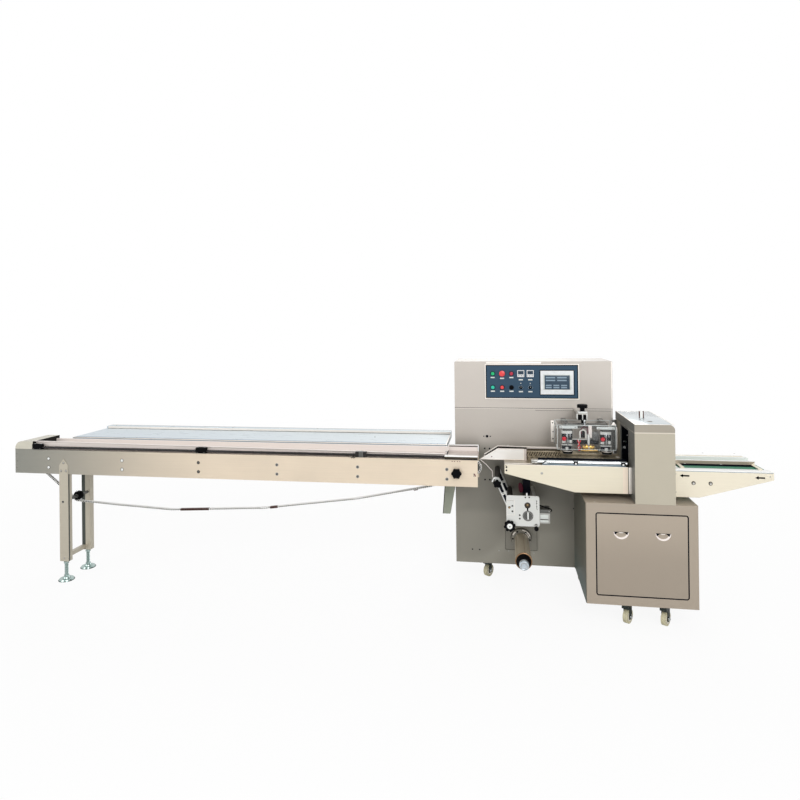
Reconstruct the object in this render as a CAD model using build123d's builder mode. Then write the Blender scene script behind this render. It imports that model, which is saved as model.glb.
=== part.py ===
"""Horizontal flow wrapping machine with a long chain infeed, in millimetres.

+X runs with the product, +Y to the back and +Z up. The origin is on the floor,
under the middle of the machine's footprint.
"""

import os

from build123d import *

os.makedirs("parts", exist_ok=True)

# Overall reach and the line that the product follows
infeed_length = 3135
infeed_overlap = 158
cabinet_width = 1000
tower_gap = 21
tower_width = 210
outfeed_length = 522
beside_cabinet = tower_gap + tower_width + outfeed_length
machine_length = infeed_length - infeed_overlap + cabinet_width + beside_cabinet
front_reach = 293
cabinet_reach = 222
cabinet_depth = 385
machine_width = front_reach + cabinet_reach + cabinet_depth
working_height = 870
infeed_left = -machine_length / 2
infeed_right = infeed_left + infeed_length
outfeed_right = machine_length / 2
machine_front = -machine_width / 2
machine_back = machine_width / 2
path_y = machine_front + front_reach

# Main cabinet and control box
cabinet_left = infeed_right - infeed_overlap
cabinet_bottom = 130
cabinet_right = cabinet_left + cabinet_width
cabinet_front = machine_back - cabinet_depth
sheet_edge = 4
rear_door_margin = 90
rear_door_groove = 4

# Control panel
panel_left_offset = 199
panel_left = cabinet_left + panel_left_offset
panel_width = 597
panel_height = 228
panel_thickness = 4
screen_left_offset = 355
screen_left = panel_left + screen_left_offset
screen_width = 207
screen_height = 153
screen_thickness = 8
button_left_offset = 51
button_left = panel_left + button_left_offset
button_pitch = 60
button_radius = 12
stop_button_radius = 19
button_thickness = 14
controller_size = 44
controller_thickness = 6
switch_radius = 9

# Infeed trough
infeed_width = 252
infeed_bottom_offset = 164
infeed_top_offset = 10
infeed_top = working_height + infeed_top_offset
infeed_bottom = infeed_top - infeed_bottom_offset
plate_thickness = 6
infeed_front = path_y - infeed_width / 2
infeed_back = path_y + infeed_width / 2
bed_top_offset = 2
bed_top = working_height + bed_top_offset
bed_thickness = 4
chain_slot = 24
guide_thickness = 3
guide_channel = 190
guide_right_offset = 195
guide_right = infeed_right - guide_right_offset
near_guide_top_left_offset = 60
near_guide_top_left = bed_top + near_guide_top_left_offset
near_guide_top_right_offset = 36
near_guide_top_right = bed_top + near_guide_top_right_offset
far_guide_top_offset = 40
far_guide_top = bed_top + far_guide_top_offset
guide_lip = 16
transfer_rim = 12
end_cover_length = 135
guide_left = infeed_left + end_cover_length
end_cover_top_offset = 50
end_cover_top = infeed_top + end_cover_top_offset
end_cover_radius = 45

# Round guide bar over the front plate and the blocks that hold it
guide_bar_radius = 8
guide_bar_height_offset = 13
guide_bar_height = infeed_top + guide_bar_height_offset
guide_bar_y = infeed_front + plate_thickness / 2
block_depth = 22
block_length = 70
block_top_offset = 34
block_top = infeed_top + block_top_offset
block_first_offset = 3
block_first = infeed_left + end_cover_length + block_first_offset
block_second_offset = 1327
block_second = infeed_left + block_second_offset
block_third_offset = 750
block_third = infeed_right - block_third_offset

# Side table behind the trough
table_left_offset = 212
table_left = infeed_left + table_left_offset
table_right_offset = 52
table_right = cabinet_left - table_right_offset
table_front_offset = 36
table_front = infeed_back + table_front_offset
table_top_offset = 40
table_top = working_height + table_top_offset
table_sheet = 3
table_skirt = 30
table_rail_width = 58
table_rail_top_offset = 18
table_rail_top = table_top + table_rail_top_offset
bracket_thickness = 5
bracket_drop = 120
bracket_inset = 75
bracket_count = 4

# Infeed chain and its sprockets
chain_width = 12
chain_height = 14
tail_x_offset = 75
tail_x = infeed_left + tail_x_offset
tail_z_offset = 80
tail_z = infeed_top - tail_z_offset
tail_radius = 42
head_x_offset = 25
head_x = infeed_right - head_x_offset
head_radius = 34
head_z = tail_z + tail_radius - head_radius
idler_z_offset = 176
idler_z = infeed_bottom - idler_z_offset
idler_radius = 28
idler_inset = 20
sprocket_width = 8
shaft_radius = 10
return_high_share = 0.8985
return_high_z_offset = 28
return_high_z = infeed_bottom - return_high_z_offset
return_mid_share = 0.726
return_mid_z_offset = 123
return_mid_z = infeed_bottom - return_mid_z_offset
return_pusher_share = 0.496
return_pusher_z_offset = 206
return_pusher_z = infeed_bottom - return_pusher_z_offset
return_low_share = 0.2564
return_low_z_offset = 241
return_low_z = infeed_bottom - return_low_z_offset
return_last_share = 0.1154
return_last_z_offset = 223
return_last_z = infeed_bottom - return_last_z_offset
shaft_clearance = 0.3

# Infeed legs
leg_left_offset = 335
leg_left = infeed_left + leg_left_offset
leg_width = 65
leg_depth = 36
leg_bottom = 130
leg_tip_offset = 103
leg_tip = infeed_bottom + leg_tip_offset
leg_wall = 3
leg_shoulder_rise = 60
brace_bottom = 140
brace_height = 26
foot_radius = 50
foot_thickness = 12
foot_stem_radius = 11
foot_taper = 30

# Bracket and chute that join the trough to the cabinet
mount_length = 110
mount_inset = 20
chute_bottom_offset = 273
chute_bottom = infeed_bottom - chute_bottom_offset
chute_shoulder_offset = 197
chute_shoulder = chute_bottom + chute_shoulder_offset
chute_top_offset = 257
chute_top = chute_bottom + chute_top_offset
chute_edge_offset = 37
chute_edge = cabinet_left - chute_edge_offset
chute_tip_offset = 87
chute_tip = cabinet_left - chute_tip_offset
chute_step = 30
chute_depth = 60

# Wrapping table, its side plates and the bag former
wrap_left_offset = 316
wrap_left = cabinet_left + wrap_left_offset
wrap_right_offset = 1
wrap_right = cabinet_right + wrap_right_offset
wrap_width = 430
wrap_top_offset = 7
wrap_top = working_height + wrap_top_offset
wrap_low_offset = 149
wrap_low = wrap_top - wrap_low_offset
wrap_nose_offset = 52
wrap_nose = wrap_top - wrap_nose_offset
wrap_bend_offset = 392
wrap_bend = wrap_left + wrap_bend_offset
wrap_front = path_y - wrap_width / 2
wrap_table_top_offset = 11
wrap_table_top = wrap_top - wrap_table_top_offset
wrap_table_thickness = 6
former_channel = 85
former_wall = 3
former_tip_x_offset = 127
former_tip_x = wrap_left - former_tip_x_offset
former_shoulder_x_offset = 24
former_shoulder_x = wrap_left - former_shoulder_x_offset
former_near_end_offset = 133
former_near_end = wrap_left + former_near_end_offset
former_far_end_offset = 36
former_top_offset = 68
former_top = wrap_table_top + former_top_offset
former_floor = wrap_table_top + former_wall
former_nose = 30
slat_height = 16
slat_share = 0.4
slat_count = 7
rail_radius = 12.5
rail_y_offset = 183
rail_y = path_y - rail_y_offset
rail_height_offset = 14
rail_height = wrap_top + rail_height_offset
rail_left_offset = 176
rail_left = wrap_left + rail_left_offset
rail_post_width = 22
rail_post_first_offset = 46
rail_post_first = rail_left + rail_post_first_offset
rail_post_second_offset = 216
rail_post_second = rail_left + rail_post_second_offset
rail_post_third_offset = 33
rail_post_third = wrap_right - rail_post_third_offset

# Fin seal unit and its clear guard
seal_left_x_offset = 226
seal_right_x_offset = 83
seal_right_x = wrap_right - seal_right_x_offset
seal_left_x = seal_right_x - seal_left_x_offset
former_far_end = seal_left_x - former_far_end_offset
seal_heater_x_offset = 130
seal_heater_x = seal_left_x + seal_heater_x_offset
seal_wheel_radius = 28
seal_wheel_height = 24
seal_wheel_bottom_offset = 42
seal_wheel_bottom = working_height + seal_wheel_bottom_offset
seal_wheel_offset = 29
seal_axle_radius = 8
seal_body_width = 56
seal_body_depth = 92
seal_body_bottom_offset = 38
seal_body_bottom = seal_wheel_bottom + seal_body_bottom_offset
seal_body_top_offset = 112
seal_body_top = seal_body_bottom + seal_body_top_offset
seal_beam_height = 26
beam_top = seal_body_top + seal_beam_height
seal_beam_depth = 40
heater_length = 105
heater_width = 40
heater_gap = 4
heater_top_offset = 5
heater_top = seal_body_bottom - heater_top_offset
heater_bottom_offset = 40
heater_bottom = heater_top - heater_bottom_offset
arm_x_offset = 92
arm_x = seal_left_x + arm_x_offset
arm_width = 50
arm_top_offset = 64
arm_top = beam_top + arm_top_offset
arm_thickness = 16
screw_radius = 8
height_knob_radius = 31
height_knob_top_offset = 51
height_knob_top = arm_top + height_knob_top_offset
height_knob_cap = 20
knob_neck_radius = 14
knob_chamfer = 4
guard_left_offset = 66
guard_left = seal_left_x - guard_left_offset
guard_right_offset = 42
guard_right = seal_right_x + guard_right_offset
guard_front_offset = 100
guard_front = path_y - guard_front_offset
guard_back_offset = 100
guard_back = path_y + guard_back_offset
guard_bottom_offset = 2
guard_bottom = seal_body_bottom - guard_bottom_offset
guard_sheet = 5
guard_hole_radius = 14
flap_gap = 0.3

# Heights of the control panel and of the cabinet, over the height knob
panel_bottom_offset = 2
panel_bottom = height_knob_top + panel_bottom_offset
seam_height_offset = 60
seam_height = panel_bottom - seam_height_offset
machine_height_offset = 17
machine_height = panel_bottom + panel_height + machine_height_offset
screen_bottom_offset = 32
screen_bottom = panel_bottom + screen_bottom_offset
button_row_low_offset = 76
button_row_low = panel_bottom + button_row_low_offset
button_row_high_offset = 90
button_row_high = button_row_low + button_row_high_offset

# Film feed unit under the wrapping table
feed_left_offset = 9
feed_left = wrap_left + feed_left_offset
feed_width = 195
feed_bottom_offset = 248
feed_bottom = wrap_low - feed_bottom_offset
feed_height = 182
feed_front_offset = 84
feed_front = path_y - feed_front_offset
feed_thickness = 8
feed_corner = 12
feed_roller_x_offset = 127
feed_roller_x = feed_left + feed_roller_x_offset
feed_roller_low_offset = 61
feed_roller_low = feed_bottom + feed_roller_low_offset
feed_roller_high_offset = 124
feed_roller_high = feed_bottom + feed_roller_high_offset
feed_roller_low_radius = 29
feed_roller_high_radius = 22
feed_knob_x_offset = 19
feed_knob_x = feed_left + feed_knob_x_offset
feed_knob_z_offset = 2
feed_knob_z = feed_bottom + feed_knob_z_offset
feed_knob_radius = 31
lobe_radius = 9
lobe_count = 6
knob_thickness = 18
knob_stem_radius = 8
motor_left_offset = 189
motor_left = feed_left + motor_left_offset
motor_right_offset = 68
motor_right = motor_left + motor_right_offset
motor_bottom_offset = 18
motor_bottom = feed_bottom + motor_bottom_offset
motor_top_offset = 81
motor_top = motor_bottom + motor_top_offset
motor_depth = 90
film_arm_thickness = 8
film_arm_width = 30
film_arm_foot_x_offset = 15
film_arm_foot_x = feed_left + film_arm_foot_x_offset
film_arm_foot_z_offset = 120
film_arm_foot_z = feed_bottom + film_arm_foot_z_offset
film_arm_top_x_offset = 66
film_arm_top_x = film_arm_foot_x - film_arm_top_x_offset
film_arm_top_z_offset = 152
film_arm_top_z = film_arm_foot_z + film_arm_top_z_offset
film_roller_radius = 17
film_roller_low_x_offset = 10
film_roller_low_x = film_arm_foot_x + film_roller_low_x_offset
film_roller_low_z_offset = 22
film_roller_low_z = film_arm_foot_z + film_roller_low_z_offset
standoff_radius = 9
standoff_inset = 26
standoff_left_z_offset = 70
standoff_left_z = feed_bottom + standoff_left_z_offset
knob_lug_radius = 24
sensor_x_offset = 138
sensor_x = wrap_left + sensor_x_offset
sensor_width = 40
sensor_depth = 30
sensor_bottom_offset = 73
sensor_bottom = wrap_low - sensor_bottom_offset
sensor_front_offset = 47
sensor_front = path_y + sensor_front_offset

# Film shaft
shaft_x_offset = 421
shaft_x = cabinet_left + shaft_x_offset
shaft_z_offset = 174
shaft_z = feed_bottom - shaft_z_offset
shaft_plate_width = 203
shaft_plate_height = 158
shaft_plate_thickness = 8
shaft_flange_radius = 63
shaft_flange_thickness = 24
film_shaft_radius = 40
film_shaft_end_offset = 173
film_shaft_end = path_y - film_shaft_end_offset
film_cone_end_offset = 219
film_cone_end = path_y - film_cone_end_offset
film_cap_radius = 27
film_cap_chamfer = 5
film_cone_radius = 39
film_cone_taper = 6
film_shaft_tip_offset = 248
film_shaft_tip = path_y - film_shaft_tip_offset
spindle_radius = 12
spindle_length = 20

# Knob on the infeed plate
infeed_knob_x_offset = 126
infeed_knob_x = infeed_right - infeed_knob_x_offset
infeed_knob_z_offset = 82
infeed_knob_z = infeed_top - infeed_knob_z_offset
infeed_knob_radius = 31
infeed_boss_radius = 20
infeed_boss_thickness = 10

# End seal cabinet
end_left_offset = 265
end_width = 590
end_bottom = 135
end_top_offset = 27
end_back_offset = 29
end_back = cabinet_front + end_back_offset
end_corner = 8
door_left_offset = 60
door_right_offset = 57
door_bottom_offset = 55
door_bottom = end_bottom + door_bottom_offset
door_top_offset = 59
door_gap = 7
door_recess = 12
door_corner = 8
grip_radius = 41
grip_depth = 8
grip_left_x_offset = 129
grip_right_x_offset = 125
grip_z_offset = 96

# Tower over the end seal jaws
tower_left = cabinet_right + tower_gap
end_left = tower_left - end_left_offset
door_left = end_left + door_left_offset
grip_left_x = door_left + grip_left_x_offset
end_right = end_left + end_width
door_right = end_right - door_right_offset
grip_right_x = door_right - grip_right_x_offset
tower_right = tower_left + tower_width
portal_front_offset = 133
portal_front = path_y - portal_front_offset
portal_back_offset = 107
portal_back = path_y + portal_back_offset
tower_top_offset = 261
tower_top = working_height + tower_top_offset
hood_bottom_offset = 49
hood_bottom = tower_top - hood_bottom_offset
hood_radius = 28
hood_gap = 0.5
hood_skirt = 6
jaw_width = 60
jaw_upper_bottom_offset = 120
jaw_upper_bottom = hood_bottom - jaw_upper_bottom_offset
jaw_upper_top_offset = 70
jaw_upper_top = hood_bottom - jaw_upper_top_offset
jaw_lower_bottom_offset = 95
jaw_lower_top_offset = 151

# Outfeed
outfeed_width = 440
outfeed_top_offset = 2
outfeed_top = working_height - outfeed_top_offset
outfeed_low_offset = 146
outfeed_low = outfeed_top - outfeed_low_offset
end_top = outfeed_low - end_top_offset
jaw_lower_top = end_top + jaw_lower_top_offset
jaw_lower_bottom = end_top + jaw_lower_bottom_offset
door_top = end_top - door_top_offset
grip_z = door_top - grip_z_offset
outfeed_bend_offset = 142
outfeed_bend = tower_right + outfeed_bend_offset
outfeed_tip_offset = 40
outfeed_tip = outfeed_top - outfeed_tip_offset
outfeed_front = path_y - outfeed_width / 2
belt_width = 280
belt_thickness = 4
belt_roller_radius = 18
belt_clearance = 5
outfeed_guide_channel = 95
outfeed_guide_left_offset = 62
outfeed_guide_left = tower_right + outfeed_guide_left_offset
outfeed_guide_right_offset = 35
outfeed_guide_right = outfeed_right - outfeed_guide_right_offset
outfeed_guide_height = 22
outfeed_guide_thickness = 12
guide_foot_width = 20
guide_foot_height = 4

# Casters
wheel_radius = 40
wheel_width = 26
fork_clearance = 2
fork_cheek = 4
caster_axle_radius = 6
caster_plate = 80
caster_plate_thickness = 5
caster_trail = 22
caster_turn = 55
fork_crown = 88
fork_half_length = 14
end_caster_back_y_offset = 104
end_caster_back_y = end_back - end_caster_back_y_offset
cabinet_caster_x_offset = 194
cabinet_caster_x = cabinet_left + cabinet_caster_x_offset
cabinet_caster_inset = 100
end_caster_x_offset = 223
end_caster_x = end_left + end_caster_x_offset
end_caster_pitch = 202
end_caster_y_offset = 72
end_caster_y = machine_front + end_caster_y_offset


def facing(y):
    """Upright sketch plane at depth y, seen from the front."""
    return Plane.XZ.offset(-y)


def block(low, high, mode=Mode.ADD):
    """Box between two opposite corners, in the part being built."""
    size = [top - bottom for bottom, top in zip(low, high)]
    with Locations(low):
        Box(*size, align=(Align.MIN, Align.MIN, Align.MIN), mode=mode)


def upright(points, front, back):
    """Plate of the outline given in X and Z, from depth front to depth back."""
    with BuildSketch(facing(back)) as outline:
        with BuildLine():
            Polyline(*points, close=True)
        make_face()
    extrude(outline.sketch, amount=back - front)


def round_bar(centre_x, centre_z, radius, front, back, mode=Mode.ADD):
    """Round bar along Y, or a hole of the same size."""
    with BuildSketch(facing(back)) as section:
        with Locations((centre_x, centre_z)):
            Circle(radius)
    extrude(section.sketch, amount=back - front, mode=mode)


def lobed_outline(centre_x, centre_z, radius):
    """Outline of a hand knob with lobes round its rim."""
    with Locations((centre_x, centre_z)):
        Circle(radius - lobe_radius / 2)
        with PolarLocations(radius - lobe_radius, lobe_count):
            Circle(lobe_radius)


def write(piece, name):
    """Label a finished piece and export it."""
    piece.label = name
    export_step(piece, f"parts/{name}.step")


# Main cabinet, with a plain service door let into its back
with BuildPart() as main_cabinet:
    block(
        (cabinet_left, cabinet_front, cabinet_bottom),
        (cabinet_right, machine_back, seam_height),
    )
    with BuildSketch(facing(machine_back)):
        with Locations(
            (cabinet_left + cabinet_width / 2, (cabinet_bottom + seam_height) / 2)
        ):
            door_size = (
                cabinet_width - 2 * rear_door_margin,
                seam_height - cabinet_bottom - 2 * rear_door_margin,
            )
            Rectangle(*door_size)
            Rectangle(
                door_size[0] - 2 * rear_door_groove,
                door_size[1] - 2 * rear_door_groove,
                mode=Mode.SUBTRACT,
            )
    extrude(amount=rear_door_groove, mode=Mode.SUBTRACT)
write(main_cabinet.part, "main_cabinet")

with BuildPart() as control_box:
    block(
        (cabinet_left, cabinet_front, seam_height),
        (cabinet_right, machine_back, machine_height),
    )
    chamfer(control_box.faces().sort_by(Axis.Z)[-1].edges(), sheet_edge)
write(control_box.part, "control_box")

panel_face = cabinet_front - panel_thickness
with BuildPart() as control_panel:
    block(
        (panel_left, panel_face, panel_bottom),
        (panel_left + panel_width, cabinet_front, panel_bottom + panel_height),
    )
write(control_panel.part, "control_panel")

with BuildPart() as touch_screen:
    block(
        (screen_left, panel_face - screen_thickness, screen_bottom),
        (screen_left + screen_width, panel_face, screen_bottom + screen_height),
    )
    chamfer(touch_screen.faces().sort_by(Axis.Y)[0].edges(), screen_thickness / 4)
write(touch_screen.part, "touch_screen")

button_columns = [button_left + step * button_pitch for step in range(3)]
controller_columns = [button_left + step * button_pitch for step in (3, 4)]
button_face = panel_face - button_thickness
with BuildPart() as panel_buttons:
    for column in button_columns:
        round_bar(column, button_row_low, button_radius, button_face, panel_face)
        is_stop = column == button_columns[1]
        radius = stop_button_radius if is_stop else button_radius
        round_bar(column, button_row_high, radius, button_face, panel_face)
    for column in controller_columns:
        round_bar(column, button_row_low, switch_radius, button_face, panel_face)
write(panel_buttons.part, "panel_buttons")

with BuildPart() as temperature_controllers:
    for column in controller_columns:
        block(
            (
                column - controller_size / 2,
                panel_face - controller_thickness,
                button_row_high - controller_size / 2,
            ),
            (
                column + controller_size / 2,
                panel_face,
                button_row_high + controller_size / 2,
            ),
        )
write(temperature_controllers.part, "temperature_controllers")

# Infeed trough: two side plates, the rear one on a bracket from the cabinet, and a
# bed with a slot for the chain
trough_outline = [
    (infeed_left, infeed_bottom),
    (infeed_right, infeed_bottom),
    (infeed_right, infeed_top),
    (infeed_left, infeed_top),
]
boss_face = infeed_front - infeed_boss_thickness
with BuildPart() as infeed_side_plates:
    upright(trough_outline, infeed_front, infeed_front + plate_thickness)
    upright(trough_outline, infeed_back - plate_thickness, infeed_back)
    round_bar(
        infeed_knob_x, infeed_knob_z, infeed_boss_radius, boss_face, infeed_front
    )
    round_bar(
        infeed_knob_x,
        infeed_knob_z,
        knob_stem_radius + shaft_clearance,
        boss_face,
        infeed_front,
        mode=Mode.SUBTRACT,
    )
    block(
        (infeed_right - mount_length, infeed_back, infeed_bottom + mount_inset),
        (infeed_right - mount_inset, cabinet_front, bed_top - 2 * mount_inset),
    )
write(infeed_side_plates.part, "infeed_side_plates")

bed_left = infeed_left + end_cover_length
bed_front = infeed_front + plate_thickness
bed_back = infeed_back - plate_thickness
bed_bottom = bed_top - bed_thickness
with BuildPart() as infeed_bed:
    block(
        (bed_left, bed_front, bed_bottom),
        (infeed_right, path_y - chain_slot / 2, bed_top),
    )
    block(
        (bed_left, path_y + chain_slot / 2, bed_bottom),
        (infeed_right, bed_back, bed_top),
    )
write(infeed_bed.part, "infeed_bed")

near_guide_y = path_y - guide_channel / 2
far_guide_y = path_y + guide_channel / 2
with BuildPart() as infeed_guides:
    upright(
        [
            (guide_left, bed_top),
            (guide_right, bed_top),
            (guide_right, near_guide_top_right),
            (guide_left, near_guide_top_left),
        ],
        near_guide_y - guide_thickness,
        near_guide_y,
    )
    upright(
        [
            (guide_left, near_guide_top_left - guide_thickness),
            (guide_right, near_guide_top_right - guide_thickness),
            (guide_right, near_guide_top_right),
            (guide_left, near_guide_top_left),
        ],
        near_guide_y - guide_lip,
        near_guide_y,
    )
    block(
        (guide_left, far_guide_y, bed_top),
        (guide_right, far_guide_y + guide_thickness, far_guide_top),
    )
    block(
        (guide_left, far_guide_y, far_guide_top - guide_thickness),
        (guide_right, far_guide_y + guide_lip, far_guide_top),
    )
write(infeed_guides.part, "infeed_guides")

with BuildPart() as transfer_plate:
    block(
        (guide_right, bed_front, bed_top),
        (infeed_right, bed_back, bed_top + guide_thickness),
    )
    for rim_y in (bed_front, bed_back - guide_thickness):
        block(
            (guide_right, rim_y, bed_top),
            (infeed_right, rim_y + guide_thickness, bed_top + transfer_rim),
        )
write(transfer_plate.part, "transfer_plate")

# Rounded sheet cover over the tail sprocket
with BuildPart() as infeed_end_cover:
    block(
        (infeed_left, infeed_front, infeed_top),
        (bed_left, infeed_back, end_cover_top),
    )
    left_top = infeed_end_cover.edges().filter_by(Axis.Y).group_by(Axis.Z)[-1]
    fillet(left_top.sort_by(Axis.X)[0], end_cover_radius)
write(infeed_end_cover.part, "infeed_end_cover")

# Guide bar over the front plate, held by three blocks
with BuildPart() as guide_bar:
    with BuildSketch(Plane.YZ.offset(bed_left)):
        with Locations((guide_bar_y, guide_bar_height)):
            Circle(guide_bar_radius)
    extrude(amount=infeed_right - bed_left)
    for block_left in (block_first, block_second, block_third):
        block(
            (block_left, guide_bar_y - block_depth / 2, infeed_top),
            (block_left + block_length, guide_bar_y + block_depth / 2, block_top),
        )
write(guide_bar.part, "guide_bar")

# Side table: a folded sheet with a raised rail along its back edge
with BuildPart() as side_table:
    block(
        (table_left, table_front, table_top - table_skirt),
        (table_right, machine_back, table_top),
    )
    block(
        (
            table_left + table_sheet,
            table_front + table_sheet,
            table_top - table_skirt,
        ),
        (
            table_right - table_sheet,
            machine_back - table_sheet,
            table_top - table_sheet,
        ),
        mode=Mode.SUBTRACT,
    )
    block(
        (table_left, machine_back - table_rail_width, table_top),
        (table_right, machine_back, table_rail_top),
    )
write(side_table.part, "side_table")

# Gusseted arms from the rear side plate to the table's back skirt
arm_seat = table_top - table_sheet
bracket_pitch = (table_right - table_left - 2 * bracket_inset) / (bracket_count - 1)
with BuildPart() as table_brackets:
    for step in range(bracket_count):
        arm_left = table_left + bracket_inset + step * bracket_pitch
        with BuildSketch(Plane.YZ.offset(arm_left)):
            with BuildLine():
                Polyline(
                    (infeed_back, arm_seat - table_skirt),
                    (infeed_back, arm_seat - bracket_drop),
                    (machine_back - table_sheet, arm_seat - table_skirt),
                    (machine_back - table_sheet, arm_seat),
                    (table_front + table_sheet, arm_seat),
                    (table_front + table_sheet, arm_seat - table_skirt),
                    close=True,
                )
            make_face()
        extrude(amount=bracket_thickness)
write(table_brackets.part, "table_brackets")


# Chain loop: round the tail, the head and the idler, sagging on its way back
idler_x = leg_left + leg_width - idler_inset
sprockets = [
    (tail_x, tail_z, tail_radius),
    (head_x, head_z, head_radius),
    (idler_x, idler_z, idler_radius),
]
return_run = [
    (idler_x + share * (head_x - idler_x), height)
    for share, height in (
        (return_high_share, return_high_z),
        (return_mid_share, return_mid_z),
        (return_pusher_share, return_pusher_z),
        (return_low_share, return_low_z),
        (return_last_share, return_last_z),
    )
]
lean = (Vector(tail_x, tail_z) - Vector(idler_x, idler_z)).normalized()
outward = Vector(-lean.Y, lean.X)
idler_leave = Vector(idler_x, idler_z) + outward * idler_radius
tail_meet = Vector(tail_x, tail_z) + outward * tail_radius
chain_back = path_y + chain_width / 2
with BuildSketch(facing(chain_back)) as inside_chain:
    with BuildLine():
        Polyline(
            (tail_x, tail_z),
            (tail_x, tail_z + tail_radius),
            (head_x, head_z + head_radius),
            (head_x, head_z - head_radius),
            *return_run,
            (idler_x, idler_z - idler_radius),
            (idler_leave.X, idler_leave.Y),
            (tail_meet.X, tail_meet.Y),
            close=True,
        )
    make_face()
    for centre_x, centre_z, radius in sprockets:
        with Locations((centre_x, centre_z)):
            Circle(radius)
with BuildSketch(facing(chain_back)) as round_chain:
    add(inside_chain.sketch_local)
    offset(amount=chain_height, kind=Kind.INTERSECTION)
with BuildPart() as infeed_chain:
    extrude(round_chain.sketch, amount=chain_width)
    extrude(inside_chain.sketch, amount=chain_width, mode=Mode.SUBTRACT)
write(infeed_chain.part, "infeed_chain")

# Sprockets on their shafts, which run from side to side
wheel_front = path_y - sprocket_width / 2
wheel_back = path_y + sprocket_width / 2
with BuildPart() as chain_sprockets:
    for centre_x, centre_z, radius in sprockets:
        round_bar(centre_x, centre_z, radius, wheel_front, wheel_back)
        seat = leg_depth if centre_x == idler_x else plate_thickness
        round_bar(
            centre_x,
            centre_z,
            shaft_radius,
            infeed_front + seat,
            infeed_back - seat,
        )
write(chain_sprockets.part, "chain_sprockets")

# Legs: upright channels whose front faces run up the side plates to a point
leg_right = leg_left + leg_width
leg_middle = leg_left + leg_width / 2
leg_shoulder = infeed_bottom + leg_shoulder_rise
with BuildPart() as infeed_legs:
    upright(
        [
            (leg_left, leg_bottom),
            (leg_right, leg_bottom),
            (leg_right, leg_shoulder),
            (leg_middle, leg_tip),
            (leg_left, leg_shoulder),
        ],
        infeed_front - leg_wall,
        infeed_front,
    )
    block(
        (leg_left, infeed_front, leg_bottom),
        (leg_right, infeed_front + leg_depth, infeed_bottom),
    )
    mirror(about=facing(path_y))
    block(
        (leg_left + leg_wall, infeed_front + leg_depth, brace_bottom),
        (
            leg_left + leg_wall + brace_height,
            infeed_back - leg_depth,
            brace_bottom + brace_height,
        ),
    )
write(infeed_legs.part, "infeed_legs")

# Levelling feet: a stem into each leg and a flat pad on the floor
leg_centres_y = (infeed_front + leg_depth / 2, infeed_back - leg_depth / 2)
with BuildPart() as levelling_feet:
    for centre_y in leg_centres_y:
        with BuildSketch():
            with Locations((leg_middle, centre_y)):
                Circle(foot_radius)
        extrude(amount=foot_thickness, taper=foot_taper)
        with BuildSketch():
            with Locations((leg_middle, centre_y)):
                Circle(foot_stem_radius)
        extrude(amount=leg_bottom)
write(levelling_feet.part, "levelling_feet")

# Sheet chute on the cabinet's side, under the trough
with BuildPart() as chain_chute:
    upright(
        [
            (cabinet_left, chute_top),
            (cabinet_left, chute_shoulder),
            (chute_edge, chute_bottom),
            (chute_tip, chute_bottom),
            (chute_edge - chute_step, chute_top),
        ],
        cabinet_front,
        cabinet_front + chute_depth,
    )
write(chain_chute.part, "chain_chute")

# Six-lobed knob on the boss of the trough's front plate
with BuildPart() as infeed_knob:
    with BuildSketch(facing(boss_face - shaft_clearance)):
        lobed_outline(infeed_knob_x, infeed_knob_z, infeed_knob_radius)
    extrude(amount=knob_thickness)
    round_bar(
        infeed_knob_x,
        infeed_knob_z,
        knob_stem_radius,
        boss_face - shaft_clearance,
        infeed_front - shaft_clearance,
    )
write(infeed_knob.part, "infeed_knob")

# Wrapping table between its side plates
with BuildPart() as wrap_side_plates:
    upright(
        [
            (wrap_left, wrap_top),
            (wrap_left, wrap_nose),
            (wrap_bend, wrap_low),
            (wrap_right, wrap_low),
            (wrap_right, wrap_top),
        ],
        wrap_front,
        wrap_front + plate_thickness,
    )
    upright(
        [
            (wrap_left, wrap_top),
            (wrap_left, wrap_nose),
            (wrap_bend, wrap_low),
            (wrap_right - plate_thickness, wrap_low),
            (wrap_right - plate_thickness, wrap_top),
        ],
        cabinet_front - plate_thickness,
        cabinet_front,
    )
write(wrap_side_plates.part, "wrap_side_plates")

slat_pitch = (former_far_end - former_near_end) / slat_count
slat_width = slat_share * slat_pitch
slat_front = path_y - former_channel / 2
slat_back = path_y + former_channel / 2
with BuildPart() as wrap_table:
    block(
        (
            wrap_left,
            wrap_front + plate_thickness,
            wrap_table_top - wrap_table_thickness,
        ),
        (wrap_right, cabinet_front - plate_thickness, wrap_table_top),
    )
    for step in range(slat_count):
        slat_left = former_near_end + slat_width + step * slat_pitch
        block(
            (slat_left, slat_front - slat_width, wrap_table_top),
            (slat_left + slat_width, slat_back, wrap_table_top + slat_height),
        )
write(wrap_table.part, "wrap_table")

# Bag former: a floor and two upright walls that fold the film round the goods
with BuildPart() as bag_former:
    block(
        (former_shoulder_x, slat_front, wrap_table_top),
        (former_near_end, slat_back, former_floor),
    )
    upright(
        [
            (former_tip_x, former_floor),
            (former_tip_x + former_nose, wrap_table_top),
            (former_near_end, wrap_table_top),
            (former_near_end, former_top),
            (former_shoulder_x, former_top),
        ],
        slat_front - former_wall,
        slat_front,
    )
    upright(
        [
            (former_tip_x, former_floor),
            (former_tip_x + former_nose, wrap_table_top),
            (former_far_end, wrap_table_top),
            (former_far_end, former_top),
            (former_shoulder_x, former_top),
        ],
        slat_back,
        slat_back + former_wall,
    )
write(bag_former.part, "bag_former")

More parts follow.
